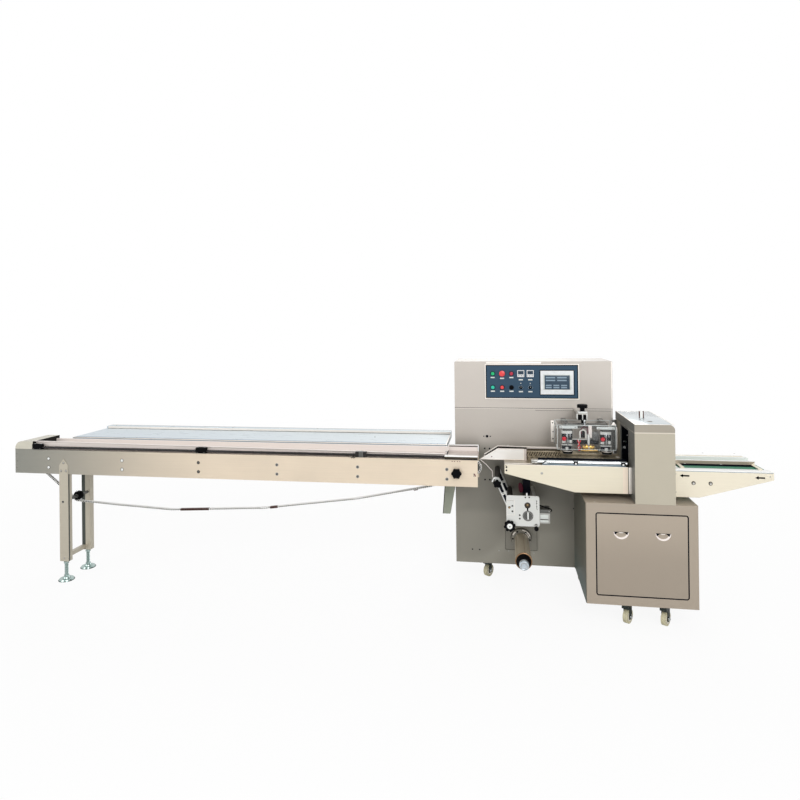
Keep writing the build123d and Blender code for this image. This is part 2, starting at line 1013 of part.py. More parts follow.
# Bright guard rail on three posts
with BuildPart() as guard_rail:
    with BuildSketch(Plane.YZ.offset(rail_left)):
        with Locations((rail_y, rail_height)):
            Circle(rail_radius)
    extrude(amount=wrap_right - rail_left)
    for post_x in (rail_post_first, rail_post_second, rail_post_third):
        block(
            (post_x, rail_y - rail_radius, wrap_table_top),
            (
                post_x + rail_post_width,
                rail_y + rail_radius,
                rail_height + rail_radius,
            ),
        )
write(guard_rail.part, "guard_rail")

# Arm from the cabinet that carries the fin seal unit on a height screw
with BuildPart() as fin_seal_arm:
    block(
        (arm_x - arm_width / 2, path_y - arm_width / 2, arm_top - arm_thickness),
        (arm_x + arm_width / 2, cabinet_front, arm_top),
    )
    block(
        (
            arm_x - arm_width / 2,
            cabinet_front - arm_thickness,
            beam_top,
        ),
        (arm_x + arm_width / 2, cabinet_front, arm_top),
    )
    with BuildSketch(Plane.XY.offset(arm_top)):
        with Locations((arm_x, path_y)):
            Circle(screw_radius + shaft_clearance)
    extrude(amount=-arm_thickness, mode=Mode.SUBTRACT)
write(fin_seal_arm.part, "fin_seal_arm")

# Height knob: a wide black cap on a screw down to the fin seal unit
with BuildPart() as height_knob:
    with BuildSketch(Plane.XY.offset(beam_top + shaft_clearance)):
        with Locations((arm_x, path_y)):
            Circle(screw_radius)
    extrude(amount=height_knob_top - beam_top - shaft_clearance)
    with BuildSketch(Plane.XY.offset(height_knob_top)):
        with Locations((arm_x, path_y)):
            Circle(height_knob_radius)
    extrude(amount=-height_knob_cap)
    chamfer(height_knob.faces().sort_by(Axis.Z)[-1].edges(), knob_chamfer)
    with BuildSketch(Plane.XY.offset(arm_top + shaft_clearance)):
        with Locations((arm_x, path_y)):
            Circle(knob_neck_radius)
    extrude(amount=height_knob_top - height_knob_cap - arm_top - shaft_clearance)
write(height_knob.part, "height_knob")

# Fin seal unit: a beam on two guide posts, with two wheel housings under it
with BuildPart() as fin_seal_frame:
    block(
        (seal_left_x, path_y - seal_beam_depth / 2, seal_body_top),
        (seal_right_x, path_y + seal_beam_depth / 2, beam_top),
    )
    for centre_x in (seal_left_x, seal_right_x):
        block(
            (
                centre_x - seal_body_width / 2,
                path_y - seal_body_depth / 2,
                seal_body_bottom,
            ),
            (
                centre_x + seal_body_width / 2,
                path_y + seal_body_depth / 2,
                seal_body_top,
            ),
        )
        block(
            (
                centre_x - seal_beam_height / 2,
                path_y,
                seal_body_top,
            ),
            (centre_x + seal_beam_height / 2, cabinet_front, beam_top),
        )
write(fin_seal_frame.part, "fin_seal_frame")

with BuildPart() as fin_seal_wheels:
    for centre_x in (seal_left_x, seal_right_x):
        for side in (-1, 1):
            with BuildSketch(Plane.XY.offset(seal_wheel_bottom)):
                with Locations((centre_x, path_y + side * seal_wheel_offset)):
                    Circle(seal_wheel_radius)
            extrude(amount=seal_wheel_height)
            with BuildSketch(Plane.XY.offset(seal_wheel_bottom)):
                with Locations((centre_x, path_y + side * seal_wheel_offset)):
                    Circle(seal_axle_radius)
            extrude(amount=seal_body_bottom - seal_wheel_bottom)
write(fin_seal_wheels.part, "fin_seal_wheels")

with BuildPart() as fin_seal_heater:
    block(
        (seal_heater_x - heater_length / 2, path_y - heater_width / 2, heater_bottom),
        (seal_heater_x + heater_length / 2, path_y - heater_gap / 2, heater_top),
    )
    mirror(about=facing(path_y))
    block(
        (
            seal_heater_x - heater_width / 2,
            path_y - heater_width / 2,
            heater_top,
        ),
        (seal_heater_x + heater_width / 2, path_y + heater_width / 2, seal_body_top),
    )
write(fin_seal_heater.part, "fin_seal_heater")

# Clear guard: two ends and a top, with a front flap hung from the top's edge
guard_top = beam_top + guard_sheet
guard_face = guard_front + guard_sheet
with BuildPart() as fin_seal_guard:
    block((guard_left, guard_face, guard_bottom), (guard_right, guard_back, guard_top))
    block(
        (guard_left + guard_sheet, guard_face, guard_bottom),
        (guard_right - guard_sheet, guard_back, beam_top),
        mode=Mode.SUBTRACT,
    )
    with BuildSketch(Plane.XY.offset(guard_top)):
        with Locations((arm_x, path_y)):
            Circle(guard_hole_radius)
    extrude(amount=-guard_sheet, mode=Mode.SUBTRACT)
write(fin_seal_guard.part, "fin_seal_guard")

with BuildPart() as guard_flap:
    block(
        (guard_left, guard_front, guard_bottom),
        (guard_right, guard_face - flap_gap, guard_top),
    )
write(guard_flap.part, "guard_flap")

# Film feed unit: a front plate on stand-offs, two rollers, a motor and a knob
feed_right = feed_left + feed_width
feed_top = feed_bottom + feed_height
feed_back = feed_front + feed_thickness
with BuildPart() as film_feed_plate:
    with BuildSketch(facing(feed_back)):
        with Locations(
            ((feed_left + feed_right) / 2, (feed_bottom + feed_top) / 2),
        ):
            RectangleRounded(feed_width, feed_height, feed_corner)
        with Locations((feed_knob_x, feed_knob_z)):
            Circle(knob_lug_radius)
            Circle(knob_stem_radius + shaft_clearance, mode=Mode.SUBTRACT)
    extrude(amount=feed_thickness)
    for rod_x, rod_z in (
        (feed_left + standoff_inset, standoff_left_z),
        (feed_right - standoff_inset, feed_top - standoff_inset),
        (feed_right - standoff_inset, feed_bottom + standoff_inset),
    ):
        round_bar(rod_x, rod_z, standoff_radius, feed_back, cabinet_front)
write(film_feed_plate.part, "film_feed_plate")

with BuildPart() as film_feed_motor:
    block(
        (motor_left, feed_back, motor_bottom),
        (motor_right, feed_back + motor_depth, motor_top),
    )
    chamfer(film_feed_motor.edges().filter_by(Axis.Y), sheet_edge)
write(film_feed_motor.part, "film_feed_motor")

with BuildPart() as film_feed_knob:
    with BuildSketch(facing(feed_front - shaft_clearance)):
        lobed_outline(feed_knob_x, feed_knob_z, feed_knob_radius)
    extrude(amount=knob_thickness)
    round_bar(
        feed_knob_x,
        feed_knob_z,
        knob_stem_radius,
        feed_front - shaft_clearance,
        feed_back,
    )
write(film_feed_knob.part, "film_feed_knob")

# Two leaning arms with the film rollers between them
arm_top_point = Vector(film_arm_top_x, film_arm_top_z)
arm_foot_point = Vector(film_arm_foot_x, film_arm_foot_z)
arm_line = arm_top_point - arm_foot_point
arm_middle = (arm_top_point + arm_foot_point) * 0.5
arm_angle = Vector(1, 0).get_angle(arm_line)
near_arm_back = feed_back + film_arm_thickness
far_arm_front = cabinet_front - film_arm_thickness
with BuildPart() as film_arms:
    for back in (near_arm_back, cabinet_front):
        with BuildSketch(facing(back)):
            with Locations(Location((arm_middle.X, arm_middle.Y), arm_angle)):
                SlotCenterToCenter(arm_line.length, film_arm_width)
        extrude(amount=film_arm_thickness)
write(film_arms.part, "film_arms")

with BuildPart() as film_rollers:
    round_bar(
        film_arm_top_x, film_arm_top_z, film_roller_radius, near_arm_back, far_arm_front
    )
    round_bar(
        film_roller_low_x,
        film_roller_low_z,
        film_roller_radius,
        near_arm_back,
        far_arm_front,
    )
    for roller_z, radius in (
        (feed_roller_low, feed_roller_low_radius),
        (feed_roller_high, feed_roller_high_radius),
    ):
        round_bar(feed_roller_x, roller_z, radius, feed_back, cabinet_front)
write(film_rollers.part, "film_rollers")

# Mark sensor under the wrapping table
with BuildPart() as mark_sensor:
    block(
        (sensor_x - sensor_width / 2, sensor_front, sensor_bottom),
        (
            sensor_x + sensor_width / 2,
            sensor_front + sensor_depth,
            wrap_table_top - wrap_table_thickness,
        ),
    )
write(mark_sensor.part, "mark_sensor")

# Film shaft: a flange on the cabinet, and a drum and a capped cone that turn in it
flange_front = cabinet_front - shaft_plate_thickness - shaft_flange_thickness
with BuildPart() as film_shaft_mount:
    block(
        (
            shaft_x - shaft_plate_width / 2,
            cabinet_front - shaft_plate_thickness,
            shaft_z - shaft_plate_height / 2,
        ),
        (
            shaft_x + shaft_plate_width / 2,
            cabinet_front,
            shaft_z + shaft_plate_height / 2,
        ),
    )
    round_bar(
        shaft_x,
        shaft_z,
        shaft_flange_radius,
        flange_front,
        cabinet_front - shaft_plate_thickness,
    )
    round_bar(
        shaft_x,
        shaft_z,
        spindle_radius + shaft_clearance,
        flange_front,
        flange_front + spindle_length + shaft_clearance,
        mode=Mode.SUBTRACT,
    )
write(film_shaft_mount.part, "film_shaft_mount")

drum_back = flange_front - shaft_clearance
with BuildPart() as film_shaft:
    round_bar(shaft_x, shaft_z, film_shaft_radius, film_shaft_end, drum_back)
    round_bar(
        shaft_x, shaft_z, spindle_radius, drum_back, flange_front + spindle_length
    )
write(film_shaft.part, "film_shaft")

with BuildPart() as film_cone:
    with BuildSketch(facing(film_shaft_end)):
        with Locations((shaft_x, shaft_z)):
            Circle(film_cone_radius)
    extrude(amount=film_shaft_end - film_cone_end, taper=film_cone_taper)
    round_bar(shaft_x, shaft_z, film_cap_radius, film_shaft_tip, film_cone_end)
    chamfer(film_cone.faces().sort_by(Axis.Y)[0].edges(), film_cap_chamfer)
write(film_cone.part, "film_cone")

# End seal cabinet with a lift-off door, which has two half-moon grips
with BuildPart() as end_seal_cabinet:
    block((end_left, machine_front, end_bottom), (end_right, cabinet_front, end_top))
    block(
        (cabinet_right + sheet_edge, cabinet_front, end_bottom),
        (end_right, end_back, end_top),
    )
    front_corners = end_seal_cabinet.edges().filter_by(Axis.Z).group_by(Axis.Y)[0]
    fillet(front_corners, end_corner)
    with BuildSketch(facing(machine_front)):
        with Locations(((door_left + door_right) / 2, (door_bottom + door_top) / 2)):
            RectangleRounded(
                door_right - door_left + 2 * door_gap,
                door_top - door_bottom + 2 * door_gap,
                door_corner + door_gap,
            )
    extrude(amount=-door_recess, mode=Mode.SUBTRACT)
write(end_seal_cabinet.part, "end_seal_cabinet")

with BuildPart() as end_seal_door:
    with BuildSketch(facing(machine_front)):
        with Locations(((door_left + door_right) / 2, (door_bottom + door_top) / 2)):
            RectangleRounded(
                door_right - door_left, door_top - door_bottom, door_corner
            )
    extrude(amount=-door_recess)
    with BuildSketch(facing(machine_front)):
        with Locations((grip_left_x, grip_z), (grip_right_x, grip_z)):
            Circle(grip_radius)
        with Locations(((door_left + door_right) / 2, grip_z + grip_radius)):
            Rectangle(
                door_right - door_left, 2 * grip_radius, mode=Mode.SUBTRACT
            )
    extrude(amount=-grip_depth, mode=Mode.SUBTRACT)
write(end_seal_door.part, "end_seal_door")

# Tower: two posts on the cabinet, either side of the tunnel, under a hinged hood
with BuildPart() as tower_posts:
    block((tower_left, machine_front, end_top), (tower_right, portal_front, hood_bottom))
    block((tower_left, portal_back, end_top), (tower_right, end_back, hood_bottom))
write(tower_posts.part, "tower_posts")

with BuildPart() as tower_hood:
    block(
        (tower_left, machine_front, hood_bottom + hood_gap),
        (tower_right, end_back, tower_top),
    )
    hood_edges = tower_hood.edges().filter_by(Axis.Y).group_by(Axis.Z)[-1]
    fillet(hood_edges.sort_by(Axis.X)[-1], hood_radius)
    block(
        (
            tower_left + hood_skirt,
            portal_front,
            hood_bottom + hood_gap,
        ),
        (tower_right - hood_skirt, portal_back, tower_top - hood_skirt),
        mode=Mode.SUBTRACT,
    )
write(tower_hood.part, "tower_hood")

# Sealing jaws above and below the goods, carried by both posts
tower_middle = tower_left + tower_width / 2
with BuildPart() as seal_jaws:
    for low, high in (
        (jaw_lower_bottom, jaw_lower_top),
        (jaw_upper_bottom, jaw_upper_top),
    ):
        block(
            (tower_middle - jaw_width / 2, portal_front, low),
            (tower_middle + jaw_width / 2, portal_back, high),
        )
write(seal_jaws.part, "seal_jaws")

# Outfeed: side plates with wide top flanges, and a belt between them
belt_front = path_y - belt_width / 2
belt_back = path_y + belt_width / 2
outfeed_back = path_y + outfeed_width / 2
outfeed_outline = [
    (tower_right, outfeed_top),
    (tower_right, outfeed_low),
    (outfeed_bend, outfeed_low),
    (outfeed_right, outfeed_tip),
    (outfeed_right, outfeed_top),
]
flange_low = outfeed_top - plate_thickness
with BuildPart() as outfeed_side_plates:
    upright(outfeed_outline, outfeed_front, outfeed_front + plate_thickness)
    block(
        (tower_right, outfeed_front, flange_low),
        (outfeed_right, belt_front - belt_clearance, outfeed_top),
    )
    mirror(about=facing(path_y))
write(outfeed_side_plates.part, "outfeed_side_plates")

# Belt loop round two rollers, whose shafts reach both side plates
roller_z = outfeed_top - belt_thickness - belt_roller_radius
roller_left = tower_right + belt_thickness + belt_roller_radius + belt_clearance
roller_right = outfeed_right - belt_thickness - belt_roller_radius
with BuildPart() as outfeed_belt:
    with BuildSketch(facing(belt_back)):
        with Locations(((roller_left + roller_right) / 2, roller_z)):
            SlotCenterToCenter(
                roller_right - roller_left, 2 * (belt_roller_radius + belt_thickness)
            )
            SlotCenterToCenter(
                roller_right - roller_left,
                2 * belt_roller_radius,
                mode=Mode.SUBTRACT,
            )
    extrude(amount=belt_width)
write(outfeed_belt.part, "outfeed_belt")

with BuildPart() as outfeed_rollers:
    for roller_x in (roller_left, roller_right):
        round_bar(
            roller_x,
            roller_z,
            belt_roller_radius - shaft_clearance,
            belt_front,
            belt_back,
        )
        round_bar(
            roller_x,
            roller_z,
            shaft_radius,
            outfeed_front + plate_thickness,
            outfeed_back - plate_thickness,
        )
write(outfeed_rollers.part, "outfeed_rollers")

# Guide walls over the belt, on feet that stand on the flanges
wall_bottom = outfeed_top + guide_foot_height
wall_y = path_y - outfeed_guide_channel / 2
foot_back = belt_front - belt_clearance
with BuildPart() as outfeed_guides:
    block(
        (outfeed_guide_left, wall_y - outfeed_guide_thickness, wall_bottom),
        (outfeed_guide_right, wall_y, wall_bottom + outfeed_guide_height),
    )
    for foot_x in (outfeed_guide_left, outfeed_guide_right - guide_foot_width):
        block(
            (foot_x, foot_back - guide_foot_width, wall_bottom),
            (foot_x + guide_foot_width, wall_y, wall_bottom + guide_foot_height),
        )
        block(
            (foot_x, foot_back - guide_foot_width, outfeed_top),
            (foot_x + guide_foot_width, foot_back, wall_bottom),
        )
    mirror(about=facing(path_y))
write(outfeed_guides.part, "outfeed_guides")

# Casters: swivelled forks under both cabinets, and their wheels
cabinet_places = [
    (x, y, cabinet_bottom)
    for x in (cabinet_caster_x, cabinet_left + cabinet_right - cabinet_caster_x)
    for y in (cabinet_front + cabinet_caster_inset, machine_back - cabinet_caster_inset)
]
end_places = [
    (x, y, end_bottom)
    for x in (end_caster_x, end_caster_x + end_caster_pitch)
    for y in (end_caster_y, end_caster_back_y)
]
cheek_inner = wheel_width / 2 + fork_clearance
with BuildPart() as caster_forks:
    for place_x, place_y, top in cabinet_places + end_places:
        with Locations(Location((place_x, place_y, 0), (0, 0, caster_turn))):
            with Locations((0, 0, top - caster_plate_thickness / 2)):
                Box(caster_plate, caster_plate, caster_plate_thickness)
            with Locations((caster_trail / 2, 0, (top + fork_crown) / 2)):
                Box(
                    caster_trail + 2 * fork_half_length,
                    2 * (cheek_inner + fork_cheek),
                    top - fork_crown,
                )
            for side in (-1, 1):
                cheek_y = side * (cheek_inner + fork_cheek / 2)
                with Locations((caster_trail, cheek_y, (wheel_radius + fork_crown) / 2)):
                    Box(
                        2 * fork_half_length,
                        fork_cheek,
                        fork_crown - wheel_radius + 2 * fork_half_length,
                    )
            with Locations((caster_trail, 0, wheel_radius)):
                Cylinder(
                    caster_axle_radius,
                    2 * (cheek_inner + fork_cheek),
                    rotation=(90, 0, 0),
                )
write(caster_forks.part, "caster_forks")

with BuildPart() as caster_wheels:
    for place_x, place_y, top in cabinet_places + end_places:
        with Locations(Location((place_x, place_y, 0), (0, 0, caster_turn))):
            with Locations((caster_trail, 0, wheel_radius)):
                Cylinder(wheel_radius, wheel_width, rotation=(90, 0, 0))
                Cylinder(
                    caster_axle_radius + shaft_clearance,
                    wheel_width,
                    rotation=(90, 0, 0),
                    mode=Mode.SUBTRACT,
                )
write(caster_wheels.part, "caster_wheels")
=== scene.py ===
"""Looks of a horizontal flow wrapping machine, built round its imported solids.

Shapes are modelled in millimetres in the machine's own frame and scaled to metres
when a piece is finished. +X runs with the product, +Y to the back and +Z up.
"""

import math

import bmesh
import bpy
from mathutils import Matrix, Vector


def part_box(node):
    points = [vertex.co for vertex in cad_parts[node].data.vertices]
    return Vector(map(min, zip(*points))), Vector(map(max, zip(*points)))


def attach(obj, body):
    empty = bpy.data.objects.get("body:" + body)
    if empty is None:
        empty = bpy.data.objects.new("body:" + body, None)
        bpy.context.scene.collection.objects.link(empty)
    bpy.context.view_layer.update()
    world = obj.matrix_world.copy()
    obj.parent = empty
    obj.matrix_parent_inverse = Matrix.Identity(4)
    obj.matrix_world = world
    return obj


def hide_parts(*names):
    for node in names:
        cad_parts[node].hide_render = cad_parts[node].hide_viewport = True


bl_info = {
    "name": "Flow Wrapping Machine",
    "version": (1, 0, 0),
    "blender": (4, 5, 0),
    "location": "View3D > Sidebar > Wrapper",
    "description": "Finishes and small parts of a horizontal flow wrapping machine",
    "category": "Add Mesh",
}

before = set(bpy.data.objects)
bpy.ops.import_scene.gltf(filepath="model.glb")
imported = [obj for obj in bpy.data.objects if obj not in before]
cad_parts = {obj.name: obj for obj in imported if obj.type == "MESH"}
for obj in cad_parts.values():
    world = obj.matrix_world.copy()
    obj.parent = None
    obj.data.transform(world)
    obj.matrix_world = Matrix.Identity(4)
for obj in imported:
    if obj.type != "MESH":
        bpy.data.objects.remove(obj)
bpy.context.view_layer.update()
MM = 0.001
MACHINE = "machine"
FRONT = Vector((0, -1, 0))
BACK = Vector((0, 1, 0))
RIGHT = Vector((1, 0, 0))
UP = Vector((0, 0, 1))


def box(node):
    """Lowest and highest corner of a CAD node, in millimetres."""
    low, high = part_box(node)
    return low / MM, high / MM


def tint(red, green, blue):
    """A linear colour from its 0 to 255 screen levels."""
    levels = (level / 255 for level in (red, green, blue))
    return tuple(
        level / 12.92 if level <= 0.04045 else ((level + 0.055) / 1.055) ** 2.4
        for level in levels
    )


def shade(colour, factor):
    """A lighter or darker version of a colour."""
    return tuple(min(1.0, level * factor) for level in colour)


# Shader maths and finishes


class Value:
    """A number inside a finish, for sums that read like a formula."""

    def __init__(self, finish, socket):
        self.finish = finish
        self.socket = socket

    def sum(self, operation, first, second):
        """One Math node of two numbers."""
        node = self.finish.node(
            "ShaderNodeMath", {"operation": operation}, {0: first, 1: second}
        )
        return Value(self.finish, node.outputs[0])

    def __add__(self, other):
        return self.sum("ADD", self, other)

    def __radd__(self, other):
        return self.sum("ADD", other, self)

    def __sub__(self, other):
        return self.sum("SUBTRACT", self, other)

    def __rsub__(self, other):
        return self.sum("SUBTRACT", other, self)

    def __mul__(self, other):
        return self.sum("MULTIPLY", self, other)

    def __rmul__(self, other):
        return self.sum("MULTIPLY", other, self)

    def step(self, low, high):
        """Runs smoothly from 0 at low to 1 at high."""
        node = self.finish.node(
            "ShaderNodeMapRange",
            {"interpolation_type": "SMOOTHSTEP"},
            {"Value": self, "From Min": low, "From Max": high},
        )
        return Value(self.finish, node.outputs["Result"])


class Finish:
    """One material and the nodes that make it."""

    made = {}

    def __init__(self, name):
        self.material = bpy.data.materials.new(name)
        self.material.use_nodes = True
        self.tree = self.material.node_tree
        self.tree.nodes.clear()
        self.shader = self.node("ShaderNodeBsdfPrincipled")
        self.node("ShaderNodeOutputMaterial", {}, {"Surface": self.shader.outputs[0]})
        self.place = self.node("ShaderNodeTexCoord").outputs["Object"]
        Finish.made[name] = self.material

    def node(self, kind, settings=None, values=None):
        """Adds a node, its settings first and then its sockets' values or links."""
        node = self.tree.nodes.new(kind)
        for name, setting in (settings or {}).items():
            setattr(node, name, setting)
        for name, value in (values or {}).items():
            self.feed(node.inputs[name], value)
        return node

    def feed(self, socket, value):
        """Gives a socket a link or a plain value."""
        if isinstance(value, Value):
            value = value.socket
        if isinstance(value, bpy.types.NodeSocket):
            self.tree.links.new(value, socket)
        elif socket.type == "RGBA":
            socket.default_value = (*value[:3], 1.0)
        else:
            socket.default_value = value

    def set(self, **values):
        """Sets sockets of the shader, with _ for a space in a name."""
        for name, value in values.items():
            self.feed(self.shader.inputs[name.replace("_", " ")], value)
        return self

    def noise(self, scale, detail=3.0, stretch=None):
        """Cloudy noise from 0 to 1, in bumps per metre."""
        place = self.place
        if stretch:
            mapping = self.node("ShaderNodeMapping", {}, {"Vector": place, "Scale": stretch})
            place = mapping.outputs["Vector"]
        node = self.node(
            "ShaderNodeTexNoise",
            {},
            {"Vector": place, "Scale": scale, "Detail": detail, "Roughness": 0.55},
        )
        return Value(self, node.outputs["Fac"])

    def along(self, axis):
        """The X, Y or Z coordinate on the object, in metres."""
        node = self.node("ShaderNodeSeparateXYZ", {}, {"Vector": self.place})
        return Value(self, node.outputs[axis])

    def mix(self, share, first, second):
        """Mixes two colours."""
        node = self.node(
            "ShaderNodeMix",
            {"data_type": "RGBA"},
            {0: share, 6: first, 7: second},
        )
        return node.outputs[2]

    def bump(self, height, strength, distance=0.0005):
        """Feeds a height to the shader's normal."""
        node = self.node(
            "ShaderNodeBump",
            {},
            {"Height": height, "Strength": strength, "Distance": distance},
        )
        return self.set(Normal=node.outputs["Normal"])


def painted(name, colour, gloss=0.42, mottle=0.05, grain=0.15, shine=0.5, foot=None,
            rise=(0.0, 1.0)):
    """Satin enamel with orange peel and faint clouds, another colour low down with foot."""
    finish = Finish(name)
    clouds = finish.noise(3.5, 4.0)
    peel = finish.noise(520.0, 2.0)
    base = finish.mix(clouds, shade(colour, 1 - mottle), shade(colour, 1 + mottle))
    base = finish.mix(peel * 0.25, base, shade(colour, 0.72))
    if foot:
        base = finish.mix(finish.along("Z").step(*rise), foot, base)
    finish.set(Base_Color=base, Roughness=gloss + 0.1 * (clouds - 0.5), Metallic=0.1,
               Specular_IOR_Level=shine)
    return finish.bump(peel, grain)


def brushed(name, colour, end=None, ends=(0.0, 1.0), grain_run=(4.0, 260.0, 260.0),
            rough=0.36, metal=0.35, mottle=0.07):
    """Brushed sheet, its colour running on to another one along X where end is given."""
    finish = Finish(name)
    grain = finish.noise(1.0, 5.0, grain_run)
    clouds = finish.noise(2.6, 3.0)
    dark, light = shade(colour, 1 - mottle), shade(colour, 1 + mottle)
    base = finish.mix(grain, dark, light)
    if end:
        run = finish.along("X").step(*ends)
        far = finish.mix(grain, shade(end, 1 - mottle), shade(end, 1 + mottle))
        base = finish.mix(run, base, far)
    base = finish.mix(clouds * 0.3, base, shade(colour, 1 - 2.5 * mottle))
    rough = rough + 0.18 * (grain - 0.5)
    finish.set(Base_Color=base, Roughness=rough, Metallic=metal)
    return finish.bump(grain, 0.12)


def sheet_with_painted_shade_and_reflections(name, upper, lower):
    """Hammered sheet, lighter above and darker below as painted shade, with broad soft patches
    painted on as reflections of a room.
    """
    finish = Finish(name)
    peel = finish.noise(480.0, 2.0)
    wide = finish.noise(1.7, 1.0, (1.0, 1.0, 1.4))
    soft = finish.noise(5.0, 3.0)
    height = finish.along("Z")
    # Painted shade and reflections: under about 0.9 m the sheet takes the darker colour, with darker
    # patches above 0.5 m and lighter, warmer patches below it.
    foot = height.step(0.44, 0.5)
    dark = finish.mix(wide.step(0.42, 0.58), shade(lower, 0.86), shade(lower, 1.12))
    painted_reflection_patches = finish.mix(wide.step(0.5, 0.62), shade(lower, 1.02), shade(lower, 1.22))
    low = finish.mix(foot, painted_reflection_patches, dark)
    high = finish.mix(soft, shade(upper, 0.95), shade(upper, 1.02))
    base = finish.mix(height.step(0.84, 0.96), low, high)
    base = finish.mix(peel * 0.3, base, shade(lower, 0.75))
    finish.set(Base_Color=base, Roughness=0.36 + 0.12 * (soft - 0.5), Metallic=0.25)
    return finish.bump(peel, 0.15)


def moulded(name, colour, gloss=0.45, shine=0.5):
    """Moulded plastic or rubber with a fine texture."""
    finish = Finish(name)
    texture = finish.noise(900.0, 2.0)
    clouds = finish.noise(40.0, 2.0)
    base = finish.mix(clouds, shade(colour, 0.82), shade(colour, 1.18))
    finish.set(Base_Color=base, Roughness=gloss + 0.14 * (clouds - 0.5),
               Specular_IOR_Level=shine)
    return finish.bump(texture, 0.10, 0.0003)


def plated(name, colour, rough=0.26, metal=0.9, marks_run=(160.0, 160.0, 900.0)):
    """Machined or plated metal with fine tool marks."""
    finish = Finish(name)
    marks = finish.noise(1.0, 3.0, marks_run)
    clouds = finish.noise(22.0, 2.0)
    base = finish.mix(clouds, shade(colour, 0.84), shade(colour, 1.1))
    finish.set(Base_Color=base, Roughness=rough + 0.16 * (marks - 0.5), Metallic=metal)
    return finish.bump(marks, 0.08, 0.0003)


# Modelling


def rounded(part, rounding, segments=2):
    """Rounds every sharp edge of a small shape."""
    sharp = [edge for edge in part.edges if edge.calc_face_angle(0.0) > 0.6]
    bmesh.ops.bevel(
        part,
        geom=sharp,
        offset=rounding,
        segments=segments,
        profile=0.5,
        affect="EDGES",
        clamp_overlap=True,
        material=-1,
    )
    return part


def facing(direction):
    """The turn that takes +Z to a direction."""
    return Vector(direction).to_track_quat("Z", "Y").to_matrix().to_4x4()


def block(low, high, rounding=1.0):
    """A cuboid between two corners."""
    low, high = Vector(low), Vector(high)
    part = bmesh.new()
    size = Matrix.Diagonal((*(high - low), 1.0))
    place = Matrix.Translation((low + high) / 2)
    bmesh.ops.create_cube(part, size=1.0, matrix=place @ size)
    return rounded(part, rounding) if rounding else part


def rod(start, end, radius, sides=24, rounding=0.0, tip=None):
    """A round bar between two points, tapering where tip is given."""
    start, end = Vector(start), Vector(end)
    part = bmesh.new()
    bmesh.ops.create_cone(
        part,
        cap_ends=True,
        segments=sides,
        radius1=radius,
        radius2=radius if tip is None else tip,
        depth=(end - start).length,
        matrix=Matrix.Translation((start + end) / 2) @ facing(end - start),
    )
    return rounded(part, rounding) if rounding else part


def turned(profile, place=(0, 0, 0), direction=UP, sides=32, angle=math.tau):
    """A profile of (radius, height) points spun round an axis."""
    part = bmesh.new()
    verts = [part.verts.new((radius, 0, height)) for radius, height in profile]
    edges = [part.edges.new(pair) for pair in zip(verts, verts[1:])]
    bmesh.ops.spin(
        part,
        geom=verts + edges,
        cent=(0, 0, 0),
        axis=(0, 0, 1),
        angle=angle,
        steps=sides,
        use_merge=angle == math.tau,
    )
    bmesh.ops.remove_doubles(part, verts=part.verts, dist=0.001)
    if angle < math.tau:
        open_edges = [edge for edge in part.edges if edge.is_boundary]
        bmesh.ops.holes_fill(part, edges=open_edges, sides=0)
    bmesh.ops.recalc_face_normals(part, faces=part.faces)
    place = Matrix.Translation(place) @ facing(direction)
    bmesh.ops.transform(part, matrix=place, verts=part.verts)
    return part


def plate(outline, near, far, rounding=0.0, plane="XZ"):
    """A flat outline given a thickness, square to Y or to the plane's other axis."""
    part = bmesh.new()
    if plane == "XZ":
        corners = [(x, near, z) for x, z in outline]
        reach = (0, far - near, 0)
    elif plane == "XY":
        corners = [(x, y, near) for x, y in outline]
        reach = (0, 0, far - near)
    else:
        corners = [(near, y, z) for y, z in outline]
        reach = (far - near, 0, 0)
    face = part.faces.new([part.verts.new(corner) for corner in corners])
    grown = bmesh.ops.extrude_face_region(part, geom=[face], use_keep_orig=True)
    verts = [item for item in grown["geom"] if isinstance(item, bmesh.types.BMVert)]
    bmesh.ops.translate(part, vec=reach, verts=verts)
    bmesh.ops.recalc_face_normals(part, faces=part.faces)
    return rounded(part, rounding) if rounding else part


def ring(outer, inner, thickness, place, direction, sides=32):
    """A flat washer."""
    profile = [
        (inner, 0),
        (outer, 0),
        (outer, thickness),
        (inner, thickness),
        (inner, 0),
    ]
    return turned(profile, place, direction, sides)


def bolt(place, direction, radius, height=None, socket=True):
    """A cap screw's head, with a hexagon socket, or a plain hexagon head."""
    height = height or radius * 0.8
    if not socket:
        start = Vector(place)
        return rod(start, start + Vector(direction) * height, radius, 6, radius * 0.12)
    part = bmesh.new()
    bmesh.ops.create_cone(
        part, cap_ends=True, segments=12, radius1=radius, radius2=radius, depth=height
    )
    cap = max(part.faces, key=lambda face: face.calc_center_median().z)
    bmesh.ops.inset_individual(part, faces=[cap], thickness=radius * 0.45)
    bmesh.ops.translate(part, vec=(0, 0, -height * 0.5), verts=cap.verts)
    lift = Matrix.Translation((0, 0, height / 2))
    place = Matrix.Translation(place) @ facing(direction) @ lift
    bmesh.ops.transform(part, matrix=place, verts=part.verts)
    return part


def dome(place, direction, radius, height, sides=20):
    """A low button head."""
    steps = 5
    profile = [
        (
            radius * math.cos(step / steps * math.pi / 2),
            height * math.sin(step / steps * math.pi / 2),
        )
        for step in range(steps)
    ]
    return turned([(0, 0), *profile, (0, height)], place, direction, sides)


